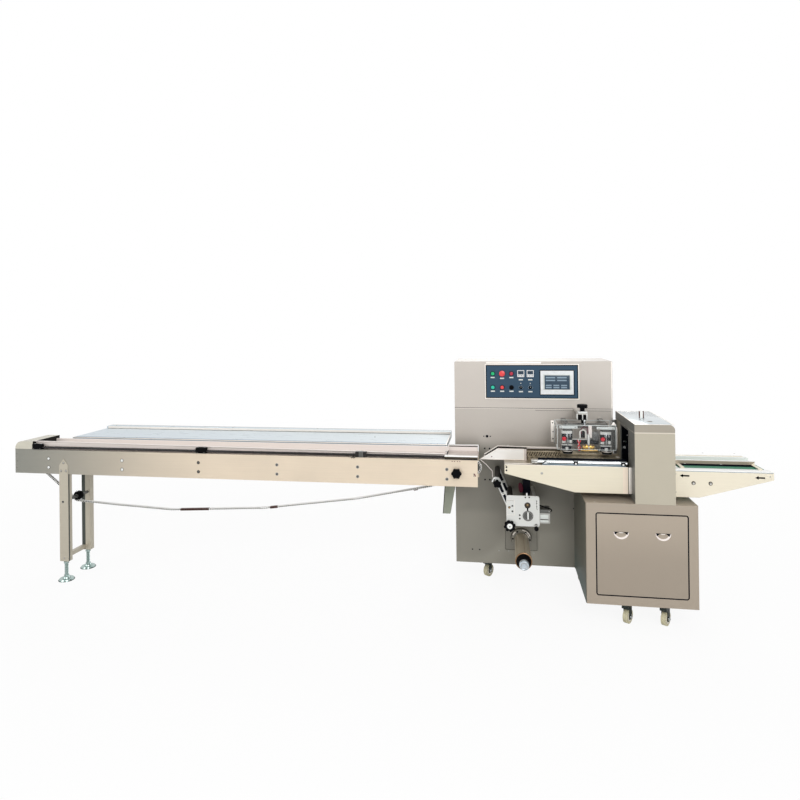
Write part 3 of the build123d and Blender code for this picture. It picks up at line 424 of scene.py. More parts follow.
class Piece:
    """A new piece, modelled in millimetres and finished in metres."""

    def __init__(self, name):
        self.name = name
        self.shape = bmesh.new()
        self.scratch = bpy.data.meshes.new("scratch")
        self.finishes = []

    def add(self, finish, *parts):
        """Joins small shapes to the piece, in one finish."""
        if finish not in self.finishes:
            self.finishes.append(finish)
        for part in parts:
            for face in part.faces:
                face.material_index = self.finishes.index(finish)
            part.to_mesh(self.scratch)
            part.free()
            self.shape.from_mesh(self.scratch)
        return self

    def done(self, body=MACHINE, replaces=(), sharp=35):
        """Scales the piece to metres and lets it ride on its body."""
        scale = Matrix.Scale(MM, 4)
        bmesh.ops.transform(self.shape, matrix=scale, verts=self.shape.verts)
        mesh = bpy.data.meshes.new(self.name)
        self.shape.to_mesh(mesh)
        self.shape.free()
        bpy.data.meshes.remove(self.scratch)
        mesh.shade_smooth()
        mesh.set_sharp_from_angle(angle=math.radians(sharp))
        for finish in self.finishes:
            mesh.materials.append(Finish.made[finish])
        piece = bpy.data.objects.new(self.name, mesh)
        bpy.context.scene.collection.objects.link(piece)
        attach(piece, body)
        if replaces:
            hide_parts(*replaces)
        return piece


def dress(node, finish, edge=0.8, angle=35):
    """Gives a CAD node its finish and eased edges."""
    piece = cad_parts[node]
    piece.data.materials.clear()
    piece.data.materials.append(Finish.made[finish])
    weld = piece.modifiers.new("Weld", "WELD")
    weld.merge_threshold = 0.00002
    if edge:
        ease = piece.modifiers.new("Eased edges", "BEVEL")
        ease.width = edge * MM
        ease.segments = 2
        ease.limit_method = "ANGLE"
        ease.angle_limit = math.radians(angle)
    even = piece.modifiers.new("Even shading", "WEIGHTED_NORMAL")
    even.keep_sharp = False
    return piece


# Sizes and colours that a user would change


def colour_property(name, description, default):
    """A colour in the sidebar."""
    return bpy.props.FloatVectorProperty(
        name=name,
        description=description,
        subtype="COLOR",
        size=3,
        min=0.0,
        max=1.0,
        default=default,
    )


def length_property(name, description, millimetres):
    """A length in the sidebar."""
    return bpy.props.FloatProperty(
        name=name,
        description=description,
        unit="LENGTH",
        min=0.0,
        default=millimetres * MM,
    )


class WrapperColours(bpy.types.PropertyGroup):
    """Colours of the machine's finishes."""

    cabinet: colour_property(
        "Cabinet", "Enamel of the control box", tint(199, 192, 184)
    )
    # The darker colour of the main cabinet's lower part, which is painted shade.
    lower: colour_property(
        "Lower cabinet", "Sheet of the main cabinet", tint(136, 133, 123)
    )
    end_cabinet: colour_property(
        "End cabinet", "Enamel of the end seal cabinet", tint(164, 152, 137)
    )
    tower: colour_property("Tower", "Enamel of the seal tower", tint(180, 173, 156))
    plate_left: colour_property(
        "Infeed plates, left", "Brushed plates at the tail", tint(140, 140, 132)
    )
    plate_right: colour_property(
        "Infeed plates, right", "Brushed plates at the head", tint(233, 216, 193)
    )
    wrap_plate: colour_property(
        "Wrapping plates", "Brushed plates at the wrapping table", tint(224, 216, 195)
    )
    outfeed_plate: colour_property(
        "Outfeed plates", "Brushed plates of the outfeed", tint(230, 222, 202)
    )
    table_left: colour_property(
        "Side table, left", "Sheet of the side table at the tail", tint(202, 214, 222)
    )
    table_right: colour_property(
        "Side table, right", "Sheet of the side table at the head", tint(216, 226, 230)
    )
    panel: colour_property("Panel", "Control panel's face", tint(50, 74, 94))
    belt: colour_property("Belt", "Outfeed belt", tint(24, 112, 84))
    stop: colour_property("Stop button", "Mushroom head", tint(222, 68, 70))


class WrapperSizes(bpy.types.PropertyGroup):
    """Sizes of the small parts."""

    chain_pitch: length_property("Chain pitch", "Pin to pin of the infeed chain", 12.7)
    roller: length_property("Chain roller", "Radius of a chain roller", 4.2)
    bolt: length_property("Plate bolt", "Radius of the side plates' bolt heads", 7.5)
    eased: length_property("Eased edge", "Rounding of sheet edges", 1.0)


class WrapperStage(bpy.types.PropertyGroup):
    """Camera and light."""

    camera: bpy.props.FloatVectorProperty(
        name="Camera",
        description="Where the camera stands",
        subtype="TRANSLATION",
        unit="LENGTH",
        size=3,
        default=(0.90025, -3.9064, 1.6764),
    )
    turn: bpy.props.FloatVectorProperty(
        name="Camera turn",
        description="Heading, pitch and roll of the camera",
        subtype="EULER",
        unit="ROTATION",
        size=3,
        default=(-0.162, 0.002, -0.011),
    )
    lens: bpy.props.FloatProperty(
        name="Lens",
        description="Focal length on a 36 mm sensor",
        unit="CAMERA",
        min=1.0,
        default=27.0,
    )
    shift: bpy.props.FloatProperty(
        name="Shift", description="Vertical lens shift", default=-0.0917
    )
    key: bpy.props.FloatProperty(
        name="Key light",
        description="Power of the large lamp in front",
        unit="POWER",
        min=0.0,
        default=238.0,
    )
    sky: bpy.props.FloatProperty(
        name="Sky", description="Strength of the even light", min=0.0, default=0.58
    )


def make_finishes(colours):
    """Makes every material."""
    painted("cabinet_enamel", colours.cabinet, 0.4)
    # The main cabinet's sheet, darker low down as painted shade, with painted reflections.
    sheet_with_painted_shade_and_reflections("cabinet_sheet_painted_shade", colours.cabinet, colours.lower)
    painted("end_enamel", colours.end_cabinet, 0.38)
    painted("tower_enamel", colours.tower, 0.36)
    brushed("infeed_steel", colours.plate_left, colours.plate_right, (-2.45, -0.75))
    brushed("wrap_steel", colours.wrap_plate)
    brushed("outfeed_steel", colours.outfeed_plate)
    brushed(
        "table_steel", colours.table_left, colours.table_right, (-1.9, 0.3),
        (6.0, 90.0, 90.0), 0.3, 0.2, 0.03,
    )
    painted("panel_enamel", colours.panel, 0.6, 0.04, 0.05, 0.25)
    moulded("belt_green", colours.belt, 0.55)
    moulded("stop_red", colours.stop, 0.3)
    moulded("green_cap", tint(14, 178, 112), 0.3)
    moulded("crimson_cap", tint(172, 36, 62), 0.3)
    moulded("teal_cap", tint(40, 190, 160), 0.3)
    moulded("black_plastic", tint(7, 7, 10), 0.42, 0.06)
    moulded("soft_black", tint(8, 8, 10), 0.6, 0.05)
    moulded("navy", tint(11, 12, 24), 0.5, 0.1)
    moulded("white_plastic", tint(232, 233, 230), 0.4)
    moulded("bezel", tint(222, 224, 226), 0.36)
    moulded("screen_glass", tint(54, 72, 88), 0.3, 0.3)
    moulded("label_card", tint(206, 210, 206), 0.5)
    moulded("dark_rubber", tint(38, 36, 34), 0.6, 0.3)
    moulded("tyre", tint(196, 190, 160), 0.55)
    moulded("maroon", tint(94, 20, 44), 0.45, 0.2)
    moulded("knob_red", tint(214, 20, 44), 0.3, 0.3)
    plated("chrome", tint(206, 210, 212), 0.14, 1.0)
    plated("steel", tint(176, 175, 170), 0.3, 0.85)
    plated("dark_steel", tint(96, 96, 94), 0.34, 0.8)
    plated("chain_steel", tint(248, 247, 242), 0.34, 0.1)
    plated("brass", tint(206, 166, 84), 0.26, 0.9)
    plated("bronze", tint(140, 118, 84), 0.32, 0.85)
    brushed("drum", tint(190, 178, 156), rough=0.34, metal=0.4, grain_run=(200.0, 5.0, 200.0))
    painted("white_enamel", tint(213, 214, 210), 0.34, 0.03, 0.05)
    painted("fork_green", tint(28, 40, 36), 0.4, 0.04)
    # Near black in holes, slots, grooves and gaps between parts: painted shade.
    moulded("painted_shade_black", tint(10, 13, 22), 0.7, 0.05)
    moulded("shadow_line", tint(34, 32, 30), 0.6, 0.08)
    moulded("pusher_brown", tint(78, 48, 40), 0.4)
    moulded("grip_brown", tint(84, 46, 36), 0.4, 0.3)
    moulded("braid", tint(226, 224, 218), 0.5)
    # Dark brown for small dark parts and marks, and for painted shade in gaps and under edges.
    moulded("dark_brown_and_painted_shade", tint(62, 54, 42), 0.4, 0.3)
    moulded("acrylic_edge", tint(204, 210, 208), 0.25)
    # Pale strips: cream trim round the panel, and painted highlights on edges, seams and rims
    # elsewhere.
    brushed("pale_trim_and_painted_highlight", tint(240, 234, 226), mottle=0.03)
    brushed("former_face", tint(231, 228, 223), metal=0.0, mottle=0.03)
    brushed("slat_light", tint(176, 164, 142), rough=0.28, metal=0.6)
    brushed("table_shade", tint(132, 152, 168), mottle=0.06)
    brushed("guide_sheet", tint(236, 227, 221), metal=0.1, mottle=0.04)
    brushed("table_slats", tint(148, 136, 114), rough=0.3, metal=0.5)
    # Brown-grey front face of the outfeed's near guide: painted shade.
    brushed("guide_face_painted_shade", tint(164, 152, 136), mottle=0.05)
    brushed("leg_steel", tint(188, 181, 165))
    brushed("cover_steel", tint(206, 202, 187))
    brushed("plate_end", tint(232, 217, 198), mottle=0.03)
    brushed("rail_shade", tint(122, 138, 148), mottle=0.05)
    painted("white_sheet", tint(250, 250, 248), 0.4, 0.02, 0.05)
    painted("frame_grey", tint(92, 92, 88), 0.4)
    painted("door_enamel", shade(colours.end_cabinet, 1.06), 0.38,
            foot=shade(colours.end_cabinet, 0.86), rise=(0.34, 0.64))
    # Grey round the portal's opening: painted shade.
    brushed("portal_frame_painted_shade", tint(112, 112, 108), mottle=0.05)
    # Light bluish top of the hood: a polished top with a painted reflection.
    brushed("polished_top_painted_reflection", tint(206, 214, 217), rough=0.2, mottle=0.03)
    brushed("pink_steel", tint(206, 196, 190), mottle=0.06)
    # The hood's lowest few millimetres are lighter: a painted highlight along the seam.
    painted("hood_enamel", tint(158, 151, 138), 0.36, foot=tint(206, 198, 184),
            rise=(1.0884, 1.0894))
    # Darker greys for the left faces of the tower, the hood and the end cabinet, teal low on the
    # cabinet: painted shade.
    painted("tower_side_painted_shade", tint(109, 109, 104), 0.4)
    painted("cabinet_side_painted_shade", tint(98, 97, 87), 0.4, foot=tint(92, 106, 103),
            rise=(0.14, 0.36))
    # Darker sheet of the film shaft's mount plate, matching the cabinet's painted shade.
    painted("mount_enamel_painted_shade", tint(130, 127, 117), 0.4)
    # Dark sheet for the legs' side faces: painted shade.
    painted("leg_side_painted_shade", tint(60, 65, 60), 0.45)
    painted("chute_enamel", tint(150, 155, 140), 0.42)
    painted("arm_enamel", tint(196, 190, 182), 0.38)
    plated("copper_ring", tint(150, 118, 88), 0.3, 0.8)
    plated("cap_silver", tint(196, 206, 214), 0.22, 0.7)
    plated("foot_chrome", tint(168, 186, 182), 0.2, 0.9)
    plated("black_bar", tint(30, 26, 26), 0.26, 0.4)
    clear = Finish("clear_sheet")
    clouds = clear.noise(5.0, 2.0)
    clear.set(
        Base_Color=clear.mix(clouds, (0.34, 0.36, 0.37), (0.44, 0.46, 0.47)),
        Roughness=0.06 + 0.05 * clouds,
        Alpha=0.03 + 0.03 * clouds,
    )
    clear.bump(clear.noise(60.0, 2.0), 0.03)


NODE_FINISHES = {
    "bag_former": "pink_steel",
    "caster_forks": "fork_green",
    "caster_wheels": "tyre",
    "chain_chute": "chute_enamel",
    "chain_sprockets": "dark_steel",
    "control_box": "cabinet_enamel",
    "control_panel": "panel_enamel",
    "end_seal_cabinet": "end_enamel",
    "end_seal_door": "door_enamel",
    "film_arms": "white_enamel",
    "film_cone": "black_plastic",
    "film_feed_knob": "black_plastic",
    "film_feed_motor": "steel",
    "film_feed_plate": "white_enamel",
    "film_rollers": "dark_rubber",
    "film_shaft": "bronze",
    "film_shaft_mount": "mount_enamel_painted_shade",
    "fin_seal_arm": "arm_enamel",
    "fin_seal_frame": "frame_grey",
    "fin_seal_guard": "clear_sheet",
    "fin_seal_heater": "brass",
    "fin_seal_wheels": "dark_steel",
    "guard_flap": "clear_sheet",
    "guard_rail": "chrome",
    "guide_bar": "black_bar",
    "height_knob": "black_plastic",
    "infeed_bed": "pink_steel",
    "infeed_chain": "chain_steel",
    "infeed_end_cover": "cover_steel",
    "infeed_guides": "guide_sheet",
    "infeed_knob": "black_plastic",
    "infeed_legs": "leg_steel",
    "infeed_side_plates": "infeed_steel",
    "levelling_feet": "foot_chrome",
    "main_cabinet": "cabinet_sheet_painted_shade",
    "mark_sensor": "black_plastic",
    "outfeed_belt": "belt_green",
    "outfeed_guides": "outfeed_steel",
    "outfeed_rollers": "steel",
    "outfeed_side_plates": "outfeed_steel",
    "panel_buttons": "black_plastic",
    "seal_jaws": "dark_steel",
    "side_table": "table_steel",
    "table_brackets": "wrap_steel",
    "temperature_controllers": "bezel",
    "touch_screen": "bezel",
    "tower_hood": "hood_enamel",
    "tower_posts": "tower_enamel",
    "transfer_plate": "pink_steel",
    "wrap_side_plates": "wrap_steel",
    "wrap_table": "table_slats",
}


class WRAPPER_OT_finishes(bpy.types.Operator):
    """Makes the materials and gives each CAD node its own"""

    bl_idname = "wrapper.finishes"
    bl_label = "Finishes"

    def execute(self, context):
        make_finishes(context.scene.wrapper_colours)
        eased = context.scene.wrapper_sizes.eased / MM
        for node, finish in NODE_FINISHES.items():
            dress(node, finish, eased)
        return {"FINISHED"}


# Chain


def chain_route(radius_out):
    """The chain's centre line: arcs round its sprockets and sagging runs between them."""
    tail, head, idler = Vector((-2290, 800)), Vector((745, 808)), Vector((-1985, 540))
    lean = (tail - idler).normalized()
    outward = Vector((-lean.y, lean.x))

    def arc(centre, radius, start, end):
        steps = max(2, round(abs(end - start) / 0.12))
        for step in range(steps + 1):
            angle = start + (end - start) * step / steps
            yield centre + radius * Vector((math.cos(angle), math.sin(angle)))

    side = math.atan2(outward.y, outward.x)
    points = [*arc(tail, 42 + radius_out, side, math.pi / 2 - math.tau * (side < 0))]
    points += [*arc(head, 34 + radius_out, math.pi / 2, -math.pi / 2)]
    points += [
        Vector((x, z - radius_out))
        for x, z in ((468, 688), (-3, 593), (-631, 510), (-1285, 475), (-1670, 493))
    ]
    points += [*arc(idler, 28 + radius_out, -math.pi / 2, side - math.tau * (side > 0))]
    return points


def evenly(points, pitch):
    """Points a pitch apart round a closed line, with the direction at each."""
    closed = [*points, points[0]]
    total = sum((b - a).length for a, b in zip(closed, closed[1:]))
    count = 2 * round(total / pitch / 2)
    gap = total / count
    walked, wanted = 0.0, 0.0
    for a, b in zip(closed, closed[1:]):
        run = b - a
        while wanted < walked + run.length - 1e-6:
            yield a + run * ((wanted - walked) / run.length), gap
            wanted += gap
        walked += run.length


def link_plate(length, offset):
    """A chain link's side plate, waisted between its two round ends."""
    link = bmesh.new()
    size = (length + 10.5, 2.0, 12.5)
    bmesh.ops.create_cube(link, size=1.0, matrix=Matrix.Diagonal((*size, 1.0)))
    ends = [edge for edge in link.edges if abs(edge.verts[0].co.y - edge.verts[1].co.y) > 1]
    bmesh.ops.bevel(
        link,
        geom=ends,
        offset=5.2,
        segments=2,
        profile=0.5,
        affect="EDGES",
        clamp_overlap=True,
        material=-1,
    )
    bmesh.ops.bisect_plane(
        link,
        geom=[*link.verts, *link.edges, *link.faces],
        plane_co=(0, 0, 0),
        plane_no=(1, 0, 0),
    )
    waist = [vert for vert in link.verts if abs(vert.co.x) < 0.1]
    bmesh.ops.scale(link, vec=(1, 1, 0.66), verts=waist)
    bmesh.ops.translate(link, vec=(0, offset, 0), verts=link.verts)
    return link


class WRAPPER_OT_chain(bpy.types.Operator):
    """Infeed chain's links, rollers and pusher bars"""

    bl_idname = "wrapper.chain"
    bl_label = "Infeed chain"

    def execute(self, context):
        sizes = context.scene.wrapper_sizes
        roller = sizes.roller / MM
        middle = -157.0
        stops = [place for place, gap in evenly(chain_route(7), sizes.chain_pitch / MM)]
        links = Piece("chain_links")
        for index, place in enumerate(stops):
            after = stops[(index + 1) % len(stops)]
            run = after - place
            slope = Matrix.Rotation(-math.atan2(run.y, run.x), 4, "Y")
            middle_of_link = (place + after) / 2
            centre = Matrix.Translation((middle_of_link.x, middle, middle_of_link.y))
            half = 4.4 if index % 2 else 6.8
            for side in (-1, 1):
                link = link_plate(run.length, side * half)
                bmesh.ops.transform(link, matrix=centre @ slope, verts=link.verts)
                links.add("chain_steel", link)
            near, far = (Vector((place.x, middle + reach, place.y)) for reach in (-9.4, 9.4))
            # Black pins and dark rollers give the dark gaps between the plates: painted shade.
            links.add("soft_black", rod(near, far, 3.9, 8))
            links.add("dark_steel", rod(near.lerp(far, 0.25), near.lerp(far, 0.75), roller, 10))
        links.done(replaces=("infeed_chain",))

        pushers = Piece("chain_pushers")
        for index, place in enumerate(stops):
            low_run = place.y < 650
            brown = low_run and (-1213 < place.x < -1011 or -584 < place.x < -535)
            white = low_run and (-640 < place.x < -590 or -10 < place.x < 55)
            if not (brown or white or (index % 24 < 2 and not low_run)):
                continue
            after = stops[(index + 1) % len(stops)]
            run = after - place
            outward = Vector((-run.y, run.x)).normalized()
            slope = Matrix.Rotation(-math.atan2(run.y, run.x), 4, "Y")
            spot = (place + after) / 2 + outward * (0.5 if low_run else 8.4)
            half = 7.0 if low_run else 2.0
            bar = block((-6.4, -8.6, -half), (6.4, 8.6, half), 0.6)
            spot = Matrix.Translation((spot.x, middle, spot.y))
            bmesh.ops.transform(bar, matrix=spot @ slope, verts=bar.verts)
            pushers.add("white_sheet" if white else "pusher_brown", bar)
        pushers.done()
        return {"FINISHED"}


# Control panel


def outline_strip(left, bottom, right, top, width, near, far):
    """Four bars round a rectangle on the front."""
    return [
        block((left, near, bottom), (right, far, bottom + width), 0),
        block((left, near, top - width), (right, far, top), 0),
        block((left, near, bottom + width), (left + width, far, top - width), 0),
        block((right - width, near, bottom + width), (right, far, top - width), 0),
    ]


class WRAPPER_OT_panel(bpy.types.Operator):
    """Control panel with its screen, controllers, buttons and switches"""

    bl_idname = "wrapper.panel"
    bl_label = "Control panel"

    def execute(self, context):
        low, high = box("control_panel")
        face = low.y
        trim = Piece("panel_trim")
        trim.add(
            "pale_trim_and_painted_highlight",
            *outline_strip(low.x, low.z, high.x, high.z, 6, face - 0.6, face),
            block((819, face - 1, 1434), (1171, face + 4, 1446), 0.5),
        )
        # Near-black lines inside the panel's rim and round the screen: painted shade.
        trim.add("soft_black", *outline_strip(
            low.x + 6, low.z + 6, high.x - 6, high.z - 6, 5, face - 0.5, face))
        trim.add("soft_black", *outline_strip(1161, 1232, 1378, 1395, 5, face - 0.5, face))
        for x, z in ((862, 1345), (922, 1340), (982, 1345), (862, 1256), (922, 1256),
                     (982, 1256), (1042, 1254), (1102, 1254), (1042, 1331), (1102, 1331)):
            trim.add("label_card", block((x - 13, face - 0.7, z - 4), (x + 13, face, z + 4), 0.3))
        trim.done()

        buttons = Piece("control_buttons")
        for x, z, cap in (
            (862, 1371, "green_cap"),
            (982, 1371, "crimson_cap"),
            (862, 1281, "teal_cap"),
            (922, 1281, "stop_red"),
            (982, 1281, "soft_black"),
        ):
            buttons.add("navy", turned(
                [(0, 0), (15, 0), (15, 2.5), (14, 4), (12, 4), (12, 0)],
                (x, face, z), FRONT))
            buttons.add(cap, turned(
                [(0, 0), (11.5, 0), (11.5, 7), (10.5, 8.5), (7, 9), (0, 9)],
                (x, face, z), FRONT))
        buttons.add("soft_black", turned([(0, 0), (17, 0), (17, 3), (11, 4), (0, 4)],
                                         (922, face, 1371), FRONT))
        buttons.add("stop_red", turned(
            [(0, 0), (8, 0), (8, 5), (18, 6), (19, 8), (18.5, 10.5), (13, 13), (6, 14),
             (0, 14)], (922, face, 1371), FRONT))
        for x in (1042, 1102):
            buttons.add("soft_black", turned(
                [(0, 0), (9, 0), (9, 5), (7.5, 8), (7, 12), (0, 12.5)],
                (x, face, 1281), FRONT))
            buttons.add("white_plastic",
                        block((x - 0.8, face - 13.2, 1281), (x + 0.8, face - 12, 1288), 0))
            for step in range(-4, 5):
                angle = math.radians(90 + 30 * step)
                far = Vector((math.cos(angle), 0, math.sin(angle)))
                spot = Vector((x, face - 0.3, 1281)) + far * 13.5
                buttons.add("label_card", dome(spot, FRONT, 1.0, 0.4, 8))
            buttons.add("label_card", dome((x, face, 1308), FRONT, 3.2, 1.6, 12))
        buttons.done(replaces=("panel_buttons",))

        front = box("touch_screen")[0].y
        display = Piece("screen_display")
        display.add("label_card", block(
            (1181, front - 0.6, 1267), (1358, front + 0.5, 1367), 0.5))
        display.add("screen_glass", block(
            (1191, front - 1.2, 1270), (1349, front, 1361), 0.5))
        for row, z in enumerate((1278, 1292, 1324, 1342)):
            for x in range(1199, 1340, 48 if row < 2 else 72):
                display.add("table_shade", block(
                    (x, front - 1.5, z), (x + (36 if row < 2 else 58), front - 1, z + 8), 0))
        display.done()

        dials = Piece("controller_displays")
        for x in (1042, 1102):
            dials.add("soft_black", block((x - 18, 54.2, 1366), (x + 18, 55.5, 1389), 0.4))
            for left, foot in ((x - 16, 1368), (x + 1, 1368), (x - 16, 1378.5), (x + 1, 1378.5)):
                dials.add("screen_glass", block(
                    (left, 53.8, foot), (left + 15, 54.4, foot + 9), 0))
            for step in range(4):
                spot = (x - 15 + step * 10, 55, 1357)
                dials.add("dark_rubber", dome(spot, FRONT, 3.0, 1.0, 10))
        dials.done()
        return {"FINISHED"}


# Cabinet


class WRAPPER_OT_cabinet(bpy.types.Operator):
    """Seams and fixing holes of the cabinet"""

    bl_idname = "wrapper.cabinet"
    bl_label = "Cabinet"

    def execute(self, context):
        low, high = box("main_cabinet")
        front, seam = low.y, high.z
        trim = Piece("cabinet_seams")
        trim.add(
            "shadow_line",
            block((low.x + 1, front - 0.5, seam - 1), (high.x - 1, front, seam + 2), 0),
            block((low.x + 520, front - 0.4, seam - 13), (high.x - 2, front, seam - 11.6), 0),
            block((low.x - 0.4, front + 4, seam - 1), (low.x, high.y - 4, seam + 2), 0),
            block((high.x, front + 4, seam - 1), (high.x + 0.4, high.y - 4, seam + 2), 0),
        )
        # A pale line under the seam and a pale strip at the box's right edge: painted highlights.
        trim.add(
            "pale_trim_and_painted_highlight",
            block((low.x + 1, front - 0.6, seam - 4), (high.x - 1, front, seam - 1), 0),
            block((high.x - 8, front - 0.5, seam - 54), (high.x - 2, front, 1446), 0),
        )
        trim.done()

        holes = Piece("cabinet_fixings")
        for x, z, radius in (
            (821, 960, 9.0),
            (800, 960, 4.0),
            (842, 960, 4.0),
            (805, 880, 5.4),
            (836, 880, 5.4),
            (805, 676, 5.4),
            (836, 676, 5.4),
            (718, 216, 4.4),
            (765, 216, 4.4),
            (1365, 507, 4.0),
        ):
            # Fixing holes drawn as near-black discs: painted shade.
            holes.add("painted_shade_black", turned(
                [(0, 0), (radius, 0), (radius, 0.8), (0, 0.8)], (x, front, z), FRONT, 20))
        for x, z in ((890, 216), (952, 217), (1112, 210)):
            holes.add("steel", bolt((x, front, z), FRONT, 4.2, 2.4))
        holes.done()
        return {"FINISHED"}


# Infeed


class WRAPPER_OT_infeed(bpy.types.Operator):
    """Bolts, guide bar ends and seams of the infeed"""

    bl_idname = "wrapper.infeed"
    bl_label = "Infeed"

    def execute(self, context):
        radius = context.scene.wrapper_sizes.bolt / MM
        front, rear = -283.0, -31.0
        bolts = Piece("infeed_bolts")
        for x in (-2111, -1567, -1025, -492, 32, 585):
            for z in (818, 759):
                for face, way in ((front, FRONT), (rear, BACK)):
                    # The darker rings round the heads at the tail are painted shade, and the white
                    # heads there are painted highlights.
                    rim, metal, size = (
                        ("dark_steel", "white_plastic", radius + 1.5) if x < -1100
                        else ("shadow_line", "dark_steel", radius) if x < -1000
                        else ("steel", "dark_steel", radius)
                    )
                    bolts.add(rim, ring(size + 3, 1, 0.4, (x, face, z), way, 20))
                    bolts.add(metal, dome((x, face, z), way, size, 4.5))
        for x, z in ((-2353, 845), (-2350, 796), (-2353, 751)):
            bolts.add("dark_steel", dome((x, front, z), FRONT, 3.2, 1.5, 12))
        for x in (618, 632, 650, 664):
            bolts.add("maroon", dome((x, front, 867), FRONT, 3.0, 0.8, 12))
        bolts.add("maroon", plate([(748, 796), (753, 796), (759, 781), (754, 779)],
                                  front - 1.2, front))
        bolts.add("dark_steel", block((746, front - 1, 778), (749, front, 798), 0))
        bolts.done()

        ends = Piece("guide_bar_ends")
        for x, metal in ((-2227, "soft_black"), (-1038, "soft_black"), (20, "dark_steel")):
            left, right = x - 1, x + 71
            if metal == "dark_steel":
                left, right = x + 22, x + 50
            ends.add(metal, block((left, -292.5, 879.5), (right, -268, 915.5), 1.5))
            for side in (left + 12, right - 12):
                ends.add("chrome", bolt((side, -280, 915.5), UP, 4.0, 2.5))
                ends.add("dark_steel", bolt((side, -292.5, 886), FRONT, 3.2, 2))
        for x in (6, 20):
            ends.add("soft_black", rod((x - 12, -289, 874), (x + 4, -287, 884), 3.0, 12, 0.6))
        ends.done()

        seams = Piece("infeed_seams")
        seams.add(
            "shadow_line",
            block((-2228, -285.8, 878.6), (768, -283, 880.4), 0),
            block((573.5, -268, 874), (576.5, -46, 885), 0),
            block((-2231, -283.4, 878.6), (-2229, -31, 931), 0),
        )
        for x in (-2300, -2260):
            for y in (-262, -52):
                seams.add("steel", dome((x, y, 929.6), UP, 5, 2.2))
        seams.add("guide_sheet", block((575, -41, 884), (770, -38, 917), 0),
                  block((573, -293.4, 884.5), (771, -268, 904), 1.0))
        # Dark strips at the tray and along the foot of the guide's front: painted shade.
        seams.add("shadow_line", block((580, -41.8, 909), (764, -41, 914.5), 0),
                  block((575, -38, 884), (773, -36, 923), 0))
        seams.add("dark_brown_and_painted_shade", block((573, -293.8, 886), (771, -293.4, 897), 0))
        seams.add("painted_shade_black", block((573, -293.8, 880.2), (771, -293.0, 886), 0))
        seams.add(
            "white_sheet",
            rod((575, -39.5, 919), (770, -39.5, 921), 3.0, 16, 1.0),
            block((764, -60, 884), (770.5, -38, 921), 2.0),
            block((573, -294, 897), (771, -291, 904.6), 0.6),
        )
        seams.add("chrome", rod((586, -268, 924), (583, -272, 886), 1.4, 10),
                  rod((575, -280, 925), (587, -267, 924), 1.4, 10))
        wire = [Vector((x, -240, z)) for x, z in ((781, 876), (819, 846), (856, 806), (857, 768))]
        for start, end in zip(wire, wire[1:]):
            seams.add("guide_sheet", rod(start, end, 1.3, 8))
        low, high = box("chain_chute")
        seams.add("shadow_line", plate(
            [(low.x, low.z), (low.x + 4, low.z), (high.x - 62, high.z), (high.x - 67, high.z)],
            low.y - 0.6, low.y))
        seams.done()
        return {"FINISHED"}


class WRAPPER_OT_table(bpy.types.Operator):
    """Seams, edge strips and screws of the side table"""

    bl_idname = "wrapper.table"
    bl_label = "Side table"

    def execute(self, context):
        low, high = box("side_table")
        top, rail = 910.0, high.z
        trim = Piece("table_trim")
        trim.add(
            "shadow_line",
            block((low.x + 12, 386, top), (high.x - 6, 392, top + 1.2), 0),
            block((low.x + 4, 446.2, rail), (high.x - 2, 449.2, rail + 0.5), 0),
            block((-1109.5, 393, rail), (-1107, 446, rail + 0.5), 0),
            block((-1610, 393, rail), (-1608.4, 446, rail + 0.4), 0),
        )
        # A blue-grey band near the front edge and down the front: painted shade.
        trim.add(
            "table_shade",
            block((low.x + 6, low.y + 8, top), (high.x - 4, low.y + 34, top + 0.8), 0),
            block((low.x + 3, low.y - 0.6, top - 22), (high.x - 3, low.y, top - 4), 0),
        )
        # Pale strips on the front edge, the end and the rail's front: painted highlights.
        trim.add(
            "pale_trim_and_painted_highlight",
            block((low.x + 2, low.y - 1.5, top - 3), (high.x - 2, low.y + 6, top + 1.6), 0.7),
            block((high.x - 7, low.y, top - 2), (high.x + 0, 390, top + 1.6), 0.7),
            block((low.x + 12, 391.8, top + 1.5), (high.x - 6, 393, rail - 1), 0),
        )
        for x, y in ((-1760, 28), (-1660, 28), (36, 234), (-900, 28), (-150, 28),
                     (380, 28), (455, 28), (498, 28)):
            trim.add("dark_steel", dome((x, y, top), UP, 5.5, 2.2, 14))
        for x in (-2090, -1340, -440, 470):
            trim.add("steel", dome((x, 421, rail), UP, 5, 2, 14))
        trim.done()
        return {"FINISHED"}


